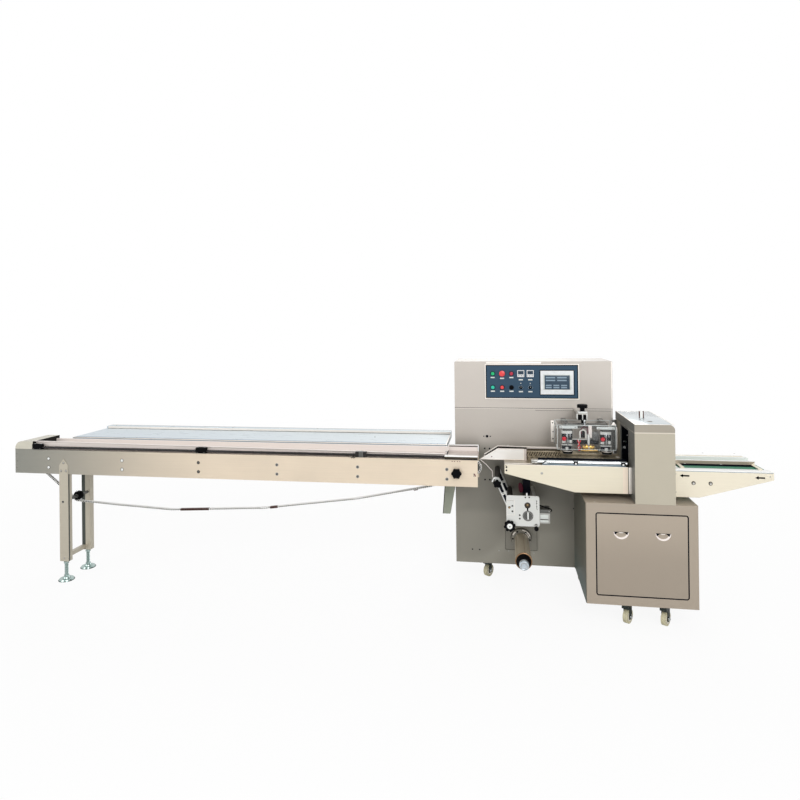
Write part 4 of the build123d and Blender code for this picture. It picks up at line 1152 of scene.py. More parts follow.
class WRAPPER_OT_legs(bpy.types.Operator):
    """Bolts of the legs, lock nuts of the feet and teeth of the sprockets"""

    bl_idname = "wrapper.legs"
    bl_label = "Legs and feet"

    def execute(self, context):
        bolts = Piece("leg_bolts")
        for face, way in ((-286.0, FRONT), (-28.0, BACK)):
            for x, z in ((-1997.5, 792), (-2016, 738), (-1979, 738)):
                bolts.add("shadow_line", ring(8, 1, 0.4, (x, face, z), way, 20))
                bolts.add("steel", dome((x, face, z), way, 6.6, 4))
            bolts.add("painted_shade_black", dome((-2003, face, 530), way, 6.5, 0.6, 16))
            bolts.add("steel", ring(8.2, 6.5, 1, (-2003, face, 530), way, 20))
            bolts.add("steel", dome((-1997.5, face, 152), way, 5.5, 3))
        low, high = box("infeed_legs")
        # Dark strips on the legs' side faces: painted shade.
        bolts.add("leg_side_painted_shade",
                  block((high.x, -282, low.z + 1), (high.x + 0.5, -271, 715), 0),
                  block((low.x + 1, -67.5, low.z + 1), (low.x + 27, -67, 715), 0))
        bolts.done()

        feet = Piece("foot_nuts")
        for y in (-265.0, -49.0):
            centre = (-1997.5, y)
            feet.add(
                "foot_chrome",
                rod((*centre, 112), (*centre, 124), 17, 6, 1.0),
                rod((*centre, 26), (*centre, 36), 16, 6, 1.0),
                turned([(0, 12), (24, 12), (22, 19), (15, 26), (0, 27)], (*centre, 0), UP, 40),
            )
            feet.add("dark_rubber", turned(
                [(0, 0.2), (49, 0.2), (50, 2), (49.4, 4), (0, 4)], (*centre, 0), UP, 40))
            for z in range(38, 112, 4):
                feet.add("foot_chrome", turned(
                    [(10.9, 0), (12.2, 1.2), (10.9, 2.4)], (*centre, z), UP, 20))
        feet.done()

        teeth = Piece("sprocket_teeth")
        for x, z, radius in ((-2290, 800, 42), (745, 808, 34), (-1985, 540, 28)):
            count = round(math.tau * (radius + 7) / 12.7)
            metal = "dark_steel"
            if z < 700:
                metal = "soft_black"
                teeth.add(metal, rod((x, -172, z), (x, -142, z), radius + 0.6, 40, 1.0))
            for index in range(count):
                turn = math.tau * (index + 0.5) / count
                way = Vector((math.cos(turn), 0, math.sin(turn)))
                root = Vector((x, -157, z)) + way * (radius - 3)
                teeth.add(metal, rod(root, root + way * 11, 3.4, 4, 0, 1.2))
            teeth.add(metal, rod((x, -176, z), (x, -138, z), radius * 0.55, 28, 1.2))
            for side in (-1, 1):
                teeth.add("steel", ring(radius * 0.42, 10.5, 1.2,
                                        (x, -157 + side * 19, z), BACK * side, 24))
        teeth.done()
        return {"FINISHED"}


# Wrapping table


class WRAPPER_OT_wrapping(bpy.types.Operator):
    """Bag former's edges and slats, the table's strips and the rail's clamps"""

    bl_idname = "wrapper.wrapping"
    bl_label = "Wrapping table"

    def execute(self, context):
        near, far = -202.5, -114.5
        former = Piece("former_trim")
        face = near - 1.2
        edge = [(786, 868), (1047, 868), (1047, 935), (889, 935), (786, 872)]
        inner = [(800, 873), (1042, 873), (1042, 930), (892, 930), (802, 877)]
        # Pale rims on the former's edges: painted highlights.
        for a, b, c, d in zip(edge, inner, inner[1:] + inner[:1], edge[1:] + edge[:1]):
            former.add("pale_trim_and_painted_highlight", plate([a, b, c, d], face, near))
        former.add("former_face", plate(inner, face + 0.8, near))
        former.add("maroon", dome((853, face + 0.8, 885), FRONT, 3.4, 0.8, 12))
        former.add("pale_trim_and_painted_highlight", plate(
            [(806, 884), (889, 937), (1266, 930), (1266, 926), (890, 932), (808, 879)],
            far - 2.6, far + 1.5))
        former.add("shadow_line", plate(
            [(812, 879), (892, 931.5), (1066, 928.5), (1066, 920), (892, 922), (812, 872)],
            far - 3.6, far - 2.6))
        former.add("steel", dome((954, far + 12, 934), UP, 6, 5, 16))
        former.add("steel", rod((954, far + 12, 866), (954, far + 12, 935), 4, 16))
        former.done()

        slats = Piece("former_slats")
        # Dark backing behind the slats: painted shade between them.
        slats.add("dark_brown_and_painted_shade", block((1050, far - 4.0, 870), (1268, far - 3.0, 922), 0))
        for index in range(15):
            x = 1052 + index * 14.4
            slats.add("slat_light", plate(
                [(x, 876), (x + 6.5, 876), (x + 19, 902), (x + 12.5, 902)],
                far - 7.5, far - 3.5))
        slats.add("slat_light", block((1050, far - 9, 903), (1268, far - 3, 909), 0.8),
                  block((1050, far - 9, 868), (1268, far - 3, 875), 0.8))
        slats.done()

        strips = Piece("table_strips")
        strips.add("slat_light", block((1085, -256, 882), (1612, -214, 885), 1.0),
                   block((1268, -114, 882), (1612, -104, 900), 1.0))
        # Dark strips under the slats and beside the rail, painted shade, and pale strips on the
        # plate's top edge, painted highlights.
        strips.add("dark_brown_and_painted_shade", block((1104, -322, 867), (1612, -262, 869), 0),
                   block((1268, -212, 882.5), (1612, -116, 883.5), 0))
        for y, finish in ((-206, "table_slats"), (-176, "slat_light"), (-146, "table_slats")):
            strips.add(finish, block((1270, y, 883.5), (1610, y + 24, 884.6), 0.4))
        strips.add("pale_trim_and_painted_highlight", block((929, -371.8, 876.2), (1612, -366, 878.4), 0.6),
                   block((929, -366, 882), (1085, -360, 884), 0.6))
        strips.done()

        rail = Piece("rail_clamps")
        height, depth = 891, -340
        for x in (1331, 1591):
            rail.add("soft_black", rod((x - 13, depth, height), (x + 13, depth, height), 15.8,
                                       24, 2.5))
            rail.add("white_plastic", dome((x, depth - 15.4, height - 4), FRONT, 6, 3.5))
        # The rail's blue-grey lower half and the near-black strip behind it: painted shade.
        rail.add("rail_shade", block((1143, -353.2, 868), (1604, -340, 884), 2))
        rail.add("painted_shade_black", block((1120, -330, 880), (1608, -327, 913), 0.6))
        rail.add("steel", block((1082, -352, 880), (1122, -326, 903), 2.0),
                 block((1122, -350, 883), (1140, -328, 900), 2.0))
        for x in (1091, 1109):
            rail.add("steel", bolt((x, -352, 891), FRONT, 5, 3))
        rail.add("soft_black", plate([(1143, 884), (1161, 899), (1166, 899), (1152, 886)],
                                     -355.5, -352))
        rail.done()

        holes = Piece("wrap_plate_fixings")
        for x, z in ((936, 862), (936, 843)):
            holes.add("painted_shade_black", turned([(0, 0), (5.2, 0), (5.2, 0.6), (0, 0.6)],
                                       (x + 3, -372, z), FRONT, 18))
        holes.add("dark_brown_and_painted_shade", dome((936, -372, 872.5), FRONT, 2.6, 0.5, 14))
        holes.add("steel", dome((1139, -372, 832), FRONT, 7.5, 1.4))
        holes.add("plate_end", block((1584, -372.5, 730), (1612, -372, 875), 0))
        for x in (980, 1100, 1300, 1500):
            holes.add("steel", dome((x, 65, 850), BACK, 5, 2, 14))
        holes.done()
        return {"FINISHED"}


# Fin seal unit


class WRAPPER_OT_sealing(bpy.types.Operator):
    """Wheel stacks, heater, hose and guard of the fin seal unit"""

    bl_idname = "wrapper.sealing"
    bl_label = "Fin seal unit"

    def execute(self, context):
        front = -206.0
        stacks = Piece("seal_wheel_stacks")
        for left, drop, axle in ((1270, 0, 1304), (1492, -3, 1530)):
            stacks.add(
                "white_enamel",
                block((left, front, 1033 + drop), (left + 60, front + 40, 1049 + drop), 1.5),
                block((left, front, 977 + drop), (left + 20, front + 4, 990 + drop), 1.5),
                block((left - 1, front, 963 + drop), (left + 62, front + 20, 968 + drop), 1.0),
                block((left + 44, front, 978 + drop), (left + 57, front + 4, 995 + drop), 1.0),
                rod((axle - 6, front, 935 + drop), (axle - 6, front, 954 + drop), 9, 20, 1.5),
            )
            stacks.add("chrome", *[
                rod((left + reach, front + 1, foot), (left + reach, front + 1, 1036), 3.2, 14, 0.6)
                for reach, foot in ((34, 966), (26, 1012), (48, 1012))
            ])
            stacks.add("knob_red", turned(
                [(0, 0), (8, 0), (12, 4), (13, 9), (12, 14), (8, 18), (0, 19)],
                (left + 12, front + 1, 1003), FRONT, 28))
            # Near black behind and under each stack: painted shade.
            stacks.add(
                "painted_shade_black",
                block((left, front + 2.2, 996), (left + 60, front + 3, 1033 + drop), 0),
                block((left, front + 1.5, 932), (left + 54, front + 6, 962), 1.0),
            )
            for y in (-186, -128):
                stacks.add("soft_black", turned(
                    [(10, 0), (29.5, 0), (30.5, 3), (30.5, 10), (29, 13), (10, 13)],
                    (axle, y, 918), UP, 40))
                stacks.add("pale_trim_and_painted_highlight", ring(30.8, 25, 4.0, (axle, y, 927), UP, 40))
        stacks.done()

        bridge = Piece("seal_bridge")
        bridge.add("soft_black", block((1329, front + 4, 972), (1484, front + 14, 995), 2),
                   block((1375, front + 6, 1009), (1403, front + 20, 1056), 3))
        bridge.add("dark_steel", block((1444, front, 994), (1485, front + 30, 1044), 3))
        bridge.add("guide_sheet", block((1424, front, 1010), (1444, front + 20, 1082), 2))
        bridge.add(
            "white_enamel",
            block((1329, front - 1, 999), (1419, front + 3, 1003), 0.8),
            rod((1423.5, front - 3, 967), (1423.5, front - 3, 1031), 7, 20, 1),
        )
        bridge.done()

        heater = Piece("heater_crown")
        heater.add(
            "brass",
            plate(
                [(1390, 942), (1456, 942), (1455, 966), (1446, 955), (1436, 966), (1424, 956),
                 (1412, 966), (1401, 955), (1391, 966)], front, -137, 1.0),
            block((1378, front, 930), (1476, -137, 938), 1.5),
        )
        heater.add("white_enamel", dome((1425, front, 952), FRONT, 6, 5),
                   block((1420, -176, 938), (1448, -138, 1062), 2))
        heater.done(replaces=("fin_seal_heater",))

        hose = Piece("seal_hose")
        for finish, centre_x, centre_z, radius, width, foot in (
            ("braid", 1391, 1040, 17, 4.2, 1009),
            ("maroon", 1399.5, 1058, 18, 2.2, 1035),
        ):
            arc = turned(
                [(radius - width, 0), (radius, width), (radius + width, 0), (radius, -width),
                 (radius - width, 0)], sides=24, angle=math.pi)
            place = Matrix.Translation((centre_x, front - 6, centre_z)) @ facing(FRONT)
            half = Matrix.Rotation(math.pi, 4, "Z")
            bmesh.ops.transform(arc, matrix=place @ half, verts=arc.verts)
            hose.add(finish, arc, *[
                rod((centre_x + side, front - 6, foot), (centre_x + side, front - 6, centre_z),
                    width, 12) for side in (-radius, radius)
            ])
        hose.add("knob_red",
                 rod((1359, front - 6, 998), (1377, front - 6, 950), 2.4, 12, 0.5),
                 rod((1378, front - 4, 996), (1360, front - 4, 952), 2.4, 12, 0.5),
                 rod((1368, front - 4, 948), (1368, front - 4, 934), 4.5, 12, 0.8))
        hose.add("braid", rod((1366, front - 2, 1000), (1366, front - 2, 936), 3.0, 12, 0.6))
        hose.done()

        guard = Piece("guard_strips")
        for left, right, low in ((1252, 1356, 1071), (1464, 1566, 1068)):
            guard.add("acrylic_edge", block((left, -251, low), (right, -248, low + 15), 0.8))
            for x in (left + 12, right - 12):
                guard.add("steel", dome((x, -251, low + 7), FRONT, 4.6, 1.2, 14))
        guard_edges = (
            ((1238, -252, 1091), (1572, -248, 1094)),
            ((1238, -252, 948), (1241, -248, 1093)),
            ((1569, -252, 948), (1572, -248, 1093)),
            ((1238, -60, 1091), (1572, -57, 1094)),
            ((1238, -248, 1091), (1241, -60, 1094)),
            ((1569, -248, 1091), (1572, -60, 1094)),
            ((1238, -60, 948), (1241, -57, 1093)),
            ((1569, -60, 948), (1572, -57, 1093)),
        )
        for first, last in guard_edges[3:]:
            guard.add("acrylic_edge", block(first, last, 0.6))
        guard.add("white_enamel", block((1234.5, -246, 1070), (1238, -214, 1090), 1),
                  block((1234.5, -246, 952), (1238, -214, 972), 1),
                  block((1234.5, -150, 1070), (1238, -118, 1090), 1))
        for y in (-230, -134):
            for z in (962, 1080):
                guard.add("dark_steel", dome((1234.5, y, z), -RIGHT, 5, 2.2, 14))
        # Pale strips on the guard's edges and corner: painted highlights.
        guard.add("pale_trim_and_painted_highlight", block((1218, -62, 955), (1238, -57, 1088), 1),
                  block((1576, -248, 958), (1579, -245, 1082), 0.6),
                  block((1572, -248, 1079), (1579, -245, 1082), 0.6),
                  plate([(1545, 1094), (1557, 1110), (1563, 1110), (1576, 1093)], -248, -244, 0.8),
                  block((1592, -151, 883), (1612, -55, 885), 0.6))
        for x, z in ((1229, 1075), (1230, 1019), (1230, 975)):
            guard.add("dark_steel", dome((x, -62, z), FRONT, 4.6, 2, 14))
        guard.done()
        flap = Piece("flap_edges")
        for first, last in (
            ((1238, -257.2, 1090.5), (1572, -252.2, 1093.2)),
            ((1238, -257.2, 948), (1240.5, -252.2, 1093)),
            ((1569.5, -257.2, 948), (1572, -252.2, 1093)),
            ((1238, -257.2, 948), (1572, -252.2, 950.5)),
        ):
            flap.add("acrylic_edge", block(first, last, 0.5))
        flap.done("flap")

        fork = Piece("arm_fork")
        fork.add(
            "white_enamel",
            block((1368, -187, 1150), (1423, -130, 1162), 2),
            block((1359, -187, 1116), (1366, -168, 1149), 1.5),
            block((1391, -188, 1112), (1396, -184, 1146), 0.8),
            block((1415, -187, 1116), (1422, -168, 1149), 1.5),
        )
        fork.add("soft_black", block((1366, -185, 1112), (1416, -181, 1144), 1))
        fork.add("chrome", rod((1405, -184, 1080), (1405, -184, 1113), 6, 20, 0.8))
        fork.done()
        return {"FINISHED"}


# Film feed and film shaft


class WRAPPER_OT_film_feed(bpy.types.Operator):
    """Film feed plate's openings, knobs, motor cover and arms"""

    bl_idname = "wrapper.film_feed"
    bl_label = "Film feed"

    def execute(self, context):
        face = -241.0
        front = Piece("feed_plate_front")
        # A pale outline round the opening as painted highlight, and dark under its top edge as
        # painted shade.
        front.add("pale_trim_and_painted_highlight", *outline_strip(940, 545, 986, 634, 1.6, face - 1, face))
        front.add("dark_brown_and_painted_shade", block((941.6, face - 0.4, 631), (984, face, 633), 0))
        for x, z, radius in ((955, 590, 6), (973, 600, 4), (973, 567, 4.4)):
            front.add("shadow_line", ring(radius + 1.4, 1, 0.4, (x, face, z), FRONT, 20))
            front.add("bronze" if radius == 6 else "dark_steel",
                      bolt((x, face, z), FRONT, radius, 3))
        # Near-black ring and slot: painted shade.
        front.add("painted_shade_black", ring(18, 15.5, 0.8, (1062, face, 606), FRONT),
                  plate([(1058, 560), (1067, 560), (1067, 600), (1058, 600)],
                        face - 0.7, face))
        front.add("dark_brown_and_painted_shade", dome((1062, face, 606), FRONT, 15.5, 2.5, 28))
        front.add("bronze", dome((1062, face - 2, 608), FRONT, 6, 1.5, 20))
        front.add("dark_steel", turned(
            [(0, 0), (31, 0), (31, 2), (28, 3), (26, 2.4), (0, 2.4)], (1064, face, 543),
            FRONT, 40))
        for index in range(16):
            turn = math.tau * index / 16
            spot = Vector((1064 + 26 * math.cos(turn), face - 2.4, 543 + 26 * math.sin(turn)))
            front.add("steel", dome(spot, FRONT, 2.6, 0.9, 8))
        front.add("white_plastic", block((1061, face - 4, 522), (1068, face - 2, 566), 1.0))
        for x, z, radius in ((1016, 546, 5), (1016, 525, 5), (1050, 653, 4.4), (1073, 654, 4.4),
                             (1116, 634, 3), (1116, 619, 3), (1116, 600, 3)):
            front.add("shadow_line", turned(
                [(0, 0), (radius, 0), (radius, 0.8), (0, 0.8)], (x, face, z), FRONT, 16))
        for z in (627, 610, 592):
            front.add("dark_brown_and_painted_shade", block((1114.5, face - 0.4, z - 4), (1117, face, z + 4), 0))
        front.add("steel", dome((1118, face, 584), FRONT, 4, 1.5, 12),
                  bolt((1111, face, 490), FRONT, 9, 3.5))
        front.add("soft_black", rod((1112, -262, 472), (1112, face, 472), 12.5, 24, 2))
        front.add("white_plastic", rod((1059, -236, 655), (1059, -236, 678), 5, 16, 1))
        front.done()

        knob = Piece("feed_knob_cap")
        knob.add("white_plastic", turned(
            [(0, 0), (16, 0), (16, 1.6), (13, 2.8), (0, 2.2)], (956, -259.3, 482), FRONT, 32))
        knob.add("steel", dome((956, -261.6, 482), FRONT, 5, 1.6, 16))
        for index in range(8):
            turn = math.tau * index / 8 + 0.2
            lobe = Vector((956 + 27 * math.cos(turn), -246, 482 + 27 * math.sin(turn)))
            knob.add("soft_black", rod(lobe, lobe + FRONT * 13, 8, 16, 1.5))
        knob.done("knob_on_film_feed")

        motor = Piece("feed_motor_cover")
        motor.add("frame_grey", block((1125, -235, 560), (1195.5, -142, 580.5), 2))
        motor.add("label_card", block((1136, -235.4, 526), (1184, -233, 552), 0.8),
                  block((1136, -235.4, 506), (1184, -233, 520), 0.8))
        motor.add("dark_brown_and_painted_shade", block((1137, -235.8, 521), (1183, -234, 524), 0),
                  *[block((1195, y, 506), (1196, y + 5, 550), 0) for y in range(-220, -150, 14)])
        for x in (1131, 1189):
            motor.add("steel", dome((x, -235, 570), FRONT, 3.4, 1.6, 12),
                      dome((x, -233, 503), FRONT, 3.2, 1.6, 12))
        motor.done()

        cable = bpy.data.curves.new("motor_cable", "CURVE")
        cable.dimensions = "3D"
        cable.bevel_depth = 3.2 * MM
        cable.bevel_resolution = 3
        line = cable.splines.new("NURBS")
        points = [(1128, -222, 604), (1142, -226, 604), (1160, -228, 594), (1186, -224, 590),
                  (1206, -212, 576), (1204, -200, 562), (1188, -196, 556)]
        line.points.add(len(points) - 1)
        for point, place in zip(line.points, points):
            point.co = (*(Vector(place) * MM), 1.0)
        line.order_u = 3
        line.use_endpoint_u = True
        cable.materials.append(Finish.made["soft_black"])
        lead = bpy.data.objects.new("motor_cable", cable)
        context.scene.collection.objects.link(lead)
        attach(lead, MACHINE)

        arms = Piece("arm_fittings")
        for y in (-237.0, 40.0):
            lower, upper = Vector((952, y, 600)), Vector((886, y, 752))
            run = (upper - lower).normalized()
            side = Vector((run.z, 0, -run.x)) * 8
            for start, end in ((0.10, 0.42), (0.52, 0.86)):
                a, b = lower.lerp(upper, start), lower.lerp(upper, end)
                arms.add("painted_shade_black", plate(
                    [((a + side).x, (a + side).z), ((a - side).x, (a - side).z),
                     ((b - side).x, (b - side).z), ((b + side).x, (b + side).z)],
                    y - 1.0, y))
            middle = lower.lerp(upper, 0.47) + Vector((0, -1, 0))
            arms.add("steel", bolt(middle, FRONT, 6, 3))
        arms.add("soft_black", turned(
            [(0, 0), (12, 0), (14, 3), (19, 8), (20, 15), (15, 21), (0, 23)],
            (884, -238, 731), FRONT, 28))
        for index in range(5):
            turn = math.tau * index / 5 + 0.3
            way = Vector((math.cos(turn), 0, math.sin(turn)))
            arms.add("soft_black", rod(Vector((884, -241, 731)) + way * 16,
                                       Vector((884, -254, 731)) + way * 16, 9, 16, 1.5))
        arms.add("white_plastic", plate(
            [(858, 738), (866, 756), (884, 762), (884, 768), (862, 763), (851, 739)],
            -240, -214, 1))
        arms.done()

        low, high = box("mark_sensor")
        eye = Piece("mark_sensor_eye")
        eye.add("navy", block((1039, low.y - 2, 640), (1085, high.y - 4, 724), 3))
        eye.add("maroon", turned(
            [(0, 0), (20, 0), (28, 2), (30, 7), (0, 7)], (1033, low.y + 12, 674),
            (-0.924, -0.383, 0), 32))
        eye.add("steel", dome((low.x + 20, low.y, 735), FRONT, 4, 2, 12))
        eye.done()
        return {"FINISHED"}


class WRAPPER_OT_film_shaft(bpy.types.Operator):
    """Flange screws, drum ring and cap of the film shaft"""

    bl_idname = "wrapper.film_shaft"
    bl_label = "Film shaft"

    def execute(self, context):
        x, z = 1033.0, 306.0
        mount = Piece("film_mount_trim")
        mount.add("shadow_line", *outline_strip(932, 228, 1134, 384, 1.6, 56.4, 57))
        for angle in (58, 178, -62, 118, -2):
            turn = math.radians(angle)
            spot = (x + 54 * math.cos(turn), 33, z + 54 * math.sin(turn))
            mount.add("soft_black", bolt(spot, FRONT, 5.2, 3.4))
        # A dark ring round the flange as painted shade, and pale arcs on the flange as painted
        # highlights.
        mount.add("dark_brown_and_painted_shade", ring(67, 63, 0.8, (x, 57, z), FRONT, 48))
        for inner, outer, start, span in ((56, 62.6, 202, 62), (46, 50, 196, 44),
                                          (55, 62.6, 308, 26)):
            arc = turned([(inner, 0), (outer, 0), (outer, 1), (inner, 1), (inner, 0)],
                         sides=16, angle=math.radians(span))
            place = Matrix.Translation((x, 33, z)) @ facing(FRONT)
            turn = Matrix.Rotation(math.radians(start), 4, "Z")
            bmesh.ops.transform(arc, matrix=place @ turn, verts=arc.verts)
            mount.add("pale_trim_and_painted_highlight", arc)
        mount.done()

        tip = Piece("film_shaft_tip")
        tip.add("copper_ring", turned(
            [(44, 0), (49.2, 0), (49.2, 7), (46, 8.5), (44, 8.5), (44, 0)], (x, -329, z), FRONT, 48))
        tip.add("soft_black", turned(
            [(0, 0), (45, 0), (44.5, 3), (38, 14), (30, 30), (27, 46), (0, 46)],
            (x, -330, z), FRONT, 48))
        # A white dot on the black cone: a painted highlight.
        tip.add("white_plastic", dome((x - 12, -336.2, z + 26), FRONT, 3.2, 1.4, 12))
        tip.add("cap_silver", turned(
            [(0, 0), (24, 0), (28.5, 3), (28.5, 22), (26, 27), (21, 28.6), (19, 27.4),
             (0, 27.4)], (x, -376, z), FRONT, 48))
        tip.add("steel", ring(19, 16, 1.0, (x, -403.4, z), FRONT, 40))
        tip.done("film_spindle", replaces=("film_cone",))

        sleeve = Piece("film_shaft_sleeve")
        sleeve.add("drum", turned(
            [(40.1, 0), (43, 0), (44, 40), (48.4, 330), (48.4, 354), (40.1, 354), (40.1, 0)],
            (x, 24, z), FRONT, 64))
        for index in range(6):
            turn = math.tau * index / 6 + 0.35
            way = Vector((math.cos(turn), 0, math.sin(turn)))
            centre = Vector((x, 0, z))
            sleeve.add("copper_ring", rod(centre + way * 47.6 + Vector((0, -322, 0)),
                                          centre + way * 43.4 + Vector((0, 4, 0)), 1.3, 8))
        sleeve.done("film_spindle")
        return {"FINISHED"}


# End seal cabinet and tower


class WRAPPER_OT_end_seal(bpy.types.Operator):
    """Door grips, seams and fittings of the end seal cabinet and its tower"""

    bl_idname = "wrapper.end_seal"
    bl_label = "End seal cabinet and tower"

    def execute(self, context):
        low, high = box("end_seal_door")
        face = low.y
        groove = Piece("door_groove")
        # Near black in the groove round the door: painted shade.
        groove.add("painted_shade_black", *outline_strip(
            low.x - 6.8, low.z - 6.8, high.x + 6.8, high.z + 6.8, 6.6, face + 0.3, face + 11.8))
        groove.done()

        grips = Piece("door_grips")
        # Painted light in each grip's recess: the dark upper lip and corners are painted shade, and
        # the pale lower rim and crescent are painted highlights.
        for x in (1557, 1776):
            place = Matrix.Translation((x, face, 540)) @ facing(FRONT)
            for finish, profile in (
                ("guide_sheet", [(33, -7), (40.8, -0.4), (40.8, -3), (34, -7.6), (33, -7)]),
                ("door_enamel", [(0, -7.6), (34, -7.6), (34, -7), (0, -7), (0, -7.6)]),
            ):
                part = turned(profile, sides=24, angle=math.pi)
                bmesh.ops.transform(part, matrix=place, verts=part.verts)
                grips.add(finish, part)
            grips.add("painted_shade_black", block((x - 40, face + 0.6, 538), (x + 40, face + 7, 540.4), 0),
                      *[plate([(x + way * 38, 539), (x + way * 13, 539), (x + way * 33, 522)],
                              face + 4, face + 7) for way in (-1, 1)])
            grips.add("pale_trim_and_painted_highlight", plate(
                [(x - 14, 538), (x + 14, 538), (x + 8, 532), (x - 8, 532)], face + 4.5, face + 7))
        grips.done()

        liner = Piece("portal_liner")
        # Inside the portal: the near-black sheets and the grey strips round the opening are painted
        # shade.
        liner.add(
            "painted_shade_black",
            block((1640, -53, 697), (1836, -50.2, 1081), 0),
            block((1640, -289.8, 697), (1836, -287, 1081), 0),
        )
        liner.add("portal_frame_painted_shade", block((1634, -62, 697), (1640, -50.2, 1081), 0.8),
                  block((1634, -289.8, 697), (1640, -278, 1081), 0.8),
                  block((1634, -278, 1068), (1640, -62, 1081), 0.8))
        liner.add("chrome", rod((1650, -56, 968), (1668, -56, 962), 6, 16, 1.0),
                  bolt((1656, -53, 930), FRONT, 8, 5))
        liner.add("white_plastic", dome((1657, -53, 930), FRONT, 8, 6, 16))
        liner.add("frame_grey", block((1604, 60.5, 884), (1632.5, 64.8, 1080), 0.5),
                  block((1613.2, 60.5, 700), (1632.5, 64.8, 884), 0.5))
        for z in (760, 880, 1040):
            liner.add("steel", dome((1632.6, -262, z), -RIGHT, 4.5, 2, 12),
                      dome((1843, -262, z), RIGHT, 4.5, 2, 12))
        # Thin sheets on the left faces of the tower and the end cabinet, darker as painted shade.
        liner.add("tower_side_painted_shade", block((1632.4, -449, 697), (1633, -291, 1081), 0))
        liner.add("cabinet_side_painted_shade", block((1367.4, -448, 137), (1368, 64, 693), 0))
        liner.done()

        flange = Piece("wrap_end_flange")
        # A pale strip on the flange as painted highlight, beside a shadow line.
        flange.add("pale_trim_and_painted_highlight", block((1616, -371, 729), (1632.6, -366, 876.5), 0.8))
        flange.add("shadow_line", block((1612.8, -369, 729), (1616, -364, 876), 0))
        flange.done()

        hood = Piece("hood_top")
        # The hood's top is lighter as a painted reflection, its rims are pale as painted highlights,
        # and its left face is darker as painted shade.
        hood.add("polished_top_painted_reflection", block((1641, -440, 1131), (1835, 86, 1132), 0.4))
        hood.add("pale_trim_and_painted_highlight", *[
            block((left, front, 1131), (right, back, 1132.4), 0.5)
            for left, front, right, back in (
                (1634, -448, 1641, 92), (1835, -448, 1842, 92),
                (1641, -448, 1835, -440), (1641, 86, 1835, 92),
            )
        ])
        for x in (1716, 1738):
            hood.add("grip_brown", rod((x, -193, 1131.5), (x - 2, -196, 1172), 3.4, 16, 1.0))
        hood.add("white_plastic", block((1718, -198, 1131.5), (1734, -193, 1171), 1.0))
        hood.add("dark_brown_and_painted_shade", turned([(0, 0), (13, 0), (12, 0.8), (0, 0.8)],
                                     (1739, -340, 1132), UP, 28))
        hood.add("steel", ring(15, 12.5, 1.4, (1739, -340, 1132), UP, 28))
        hood.add("tower_side_painted_shade", block((1632.4, -448, 1084), (1633, 92, 1130), 0))
        hood.done("hood")

        rear = Piece("tower_rear")
        for z in (760, 1020):
            rear.add("steel", rod((1700, 91, z), (1776, 91, z), 2.6, 12, 0.5))
        for x in (1420, 1580):
            rear.add("steel", dome((x, -430, 695), UP, 5, 2, 12))
        rear.done()
        return {"FINISHED"}


# Outfeed


class WRAPPER_OT_outfeed(bpy.types.Operator):
    """Arrows, bolts and guide trims of the outfeed"""

    bl_idname = "wrapper.outfeed"
    bl_label = "Outfeed"

    def execute(self, context):
        low, high = box("outfeed_side_plates")
        front, rear = low.y, high.y
        marks = Piece("outfeed_marks")
        for x, z in ((1884, 841), (2270, 840)):
            marks.add("soft_black", plate(
                [(x, z), (x + 17, z + 10), (x + 17, z + 4), (x + 50, z + 4), (x + 50, z - 4),
                 (x + 17, z - 4), (x + 17, z - 10)], front - 0.6, front))
        for x in (1955, 2043):
            marks.add("dark_brown_and_painted_shade", ring(10.5, 7, 2, (x, front, 802), FRONT, 28))
            marks.add("steel", bolt((x, front, 802), FRONT, 6.8, 4))
            marks.add("steel", dome((x, rear, 802), BACK, 8, 3, 20))
        for x, z in ((1862, 850), (1862, 750), (2345, 848)):
            marks.add("steel", dome((x, front, z), FRONT, 4.2, 1.8, 14),
                      dome((x, rear, z), BACK, 4.2, 1.8, 14))
        marks.done()

        guides = Piece("outfeed_trim")
        low, high = box("outfeed_guides")
        guides.add("white_sheet", block((1845, front + 0.4, 868), (2360, front + 68, 870), 0.8),
                   block((1845, rear - 10, 868), (2360, rear - 0.4, 870.5), 0.8))
        # Painted light on the guides: a near-black shadow line on the belt under the near guide, its
        # front face darker as painted shade, and its top and the far guide near white as painted
        # highlight.
        guides.add("painted_shade_black", block((1890, -219.5, 868), (2318, -216.5, 874.5), 0),
                   block((1892, -240, 868), (2316, -216.5, 869), 0))
        guides.add("guide_face_painted_shade", plate([(1862, 893), (1880, 874.5), (2312, 874.5), (2334, 893)],
                                      -217.4, -216.5))
        guides.add("white_sheet", block((1858, -217.4, 892.4), (2336, -204.5, 894.6), 0.8),
                   block((1858, -110.2, 869), (2336, -109.5, 893), 0),
                   block((1858, -110.2, 892.4), (2336, -97.5, 894.6), 0.8),
                   block((1850, -97, 868.2), (2340, high.y - 1, 869.4), 0),
                   block((1846, -300, 868), (1896, -222, 869.6), 0.6),
                   rod((1852, -300, 876), (1852, -222, 876), 7, 20, 1.0))
        guides.add("steel", ring(6, 4.6, 0.8, (1874, -262, 869.6), UP, 20))
        guides.add("table_shade", block((1846, front - 0.5, 865.5), (2362, front, 868), 0))
        for x in (1930, 2120, 2300):
            guides.add("steel", dome((x, low.y + 12, high.z), UP, 5, 2.2, 14),
                       dome((x, high.y - 12, high.z), UP, 5, 2.2, 14))
        guides.done()
        return {"FINISHED"}


# Casters


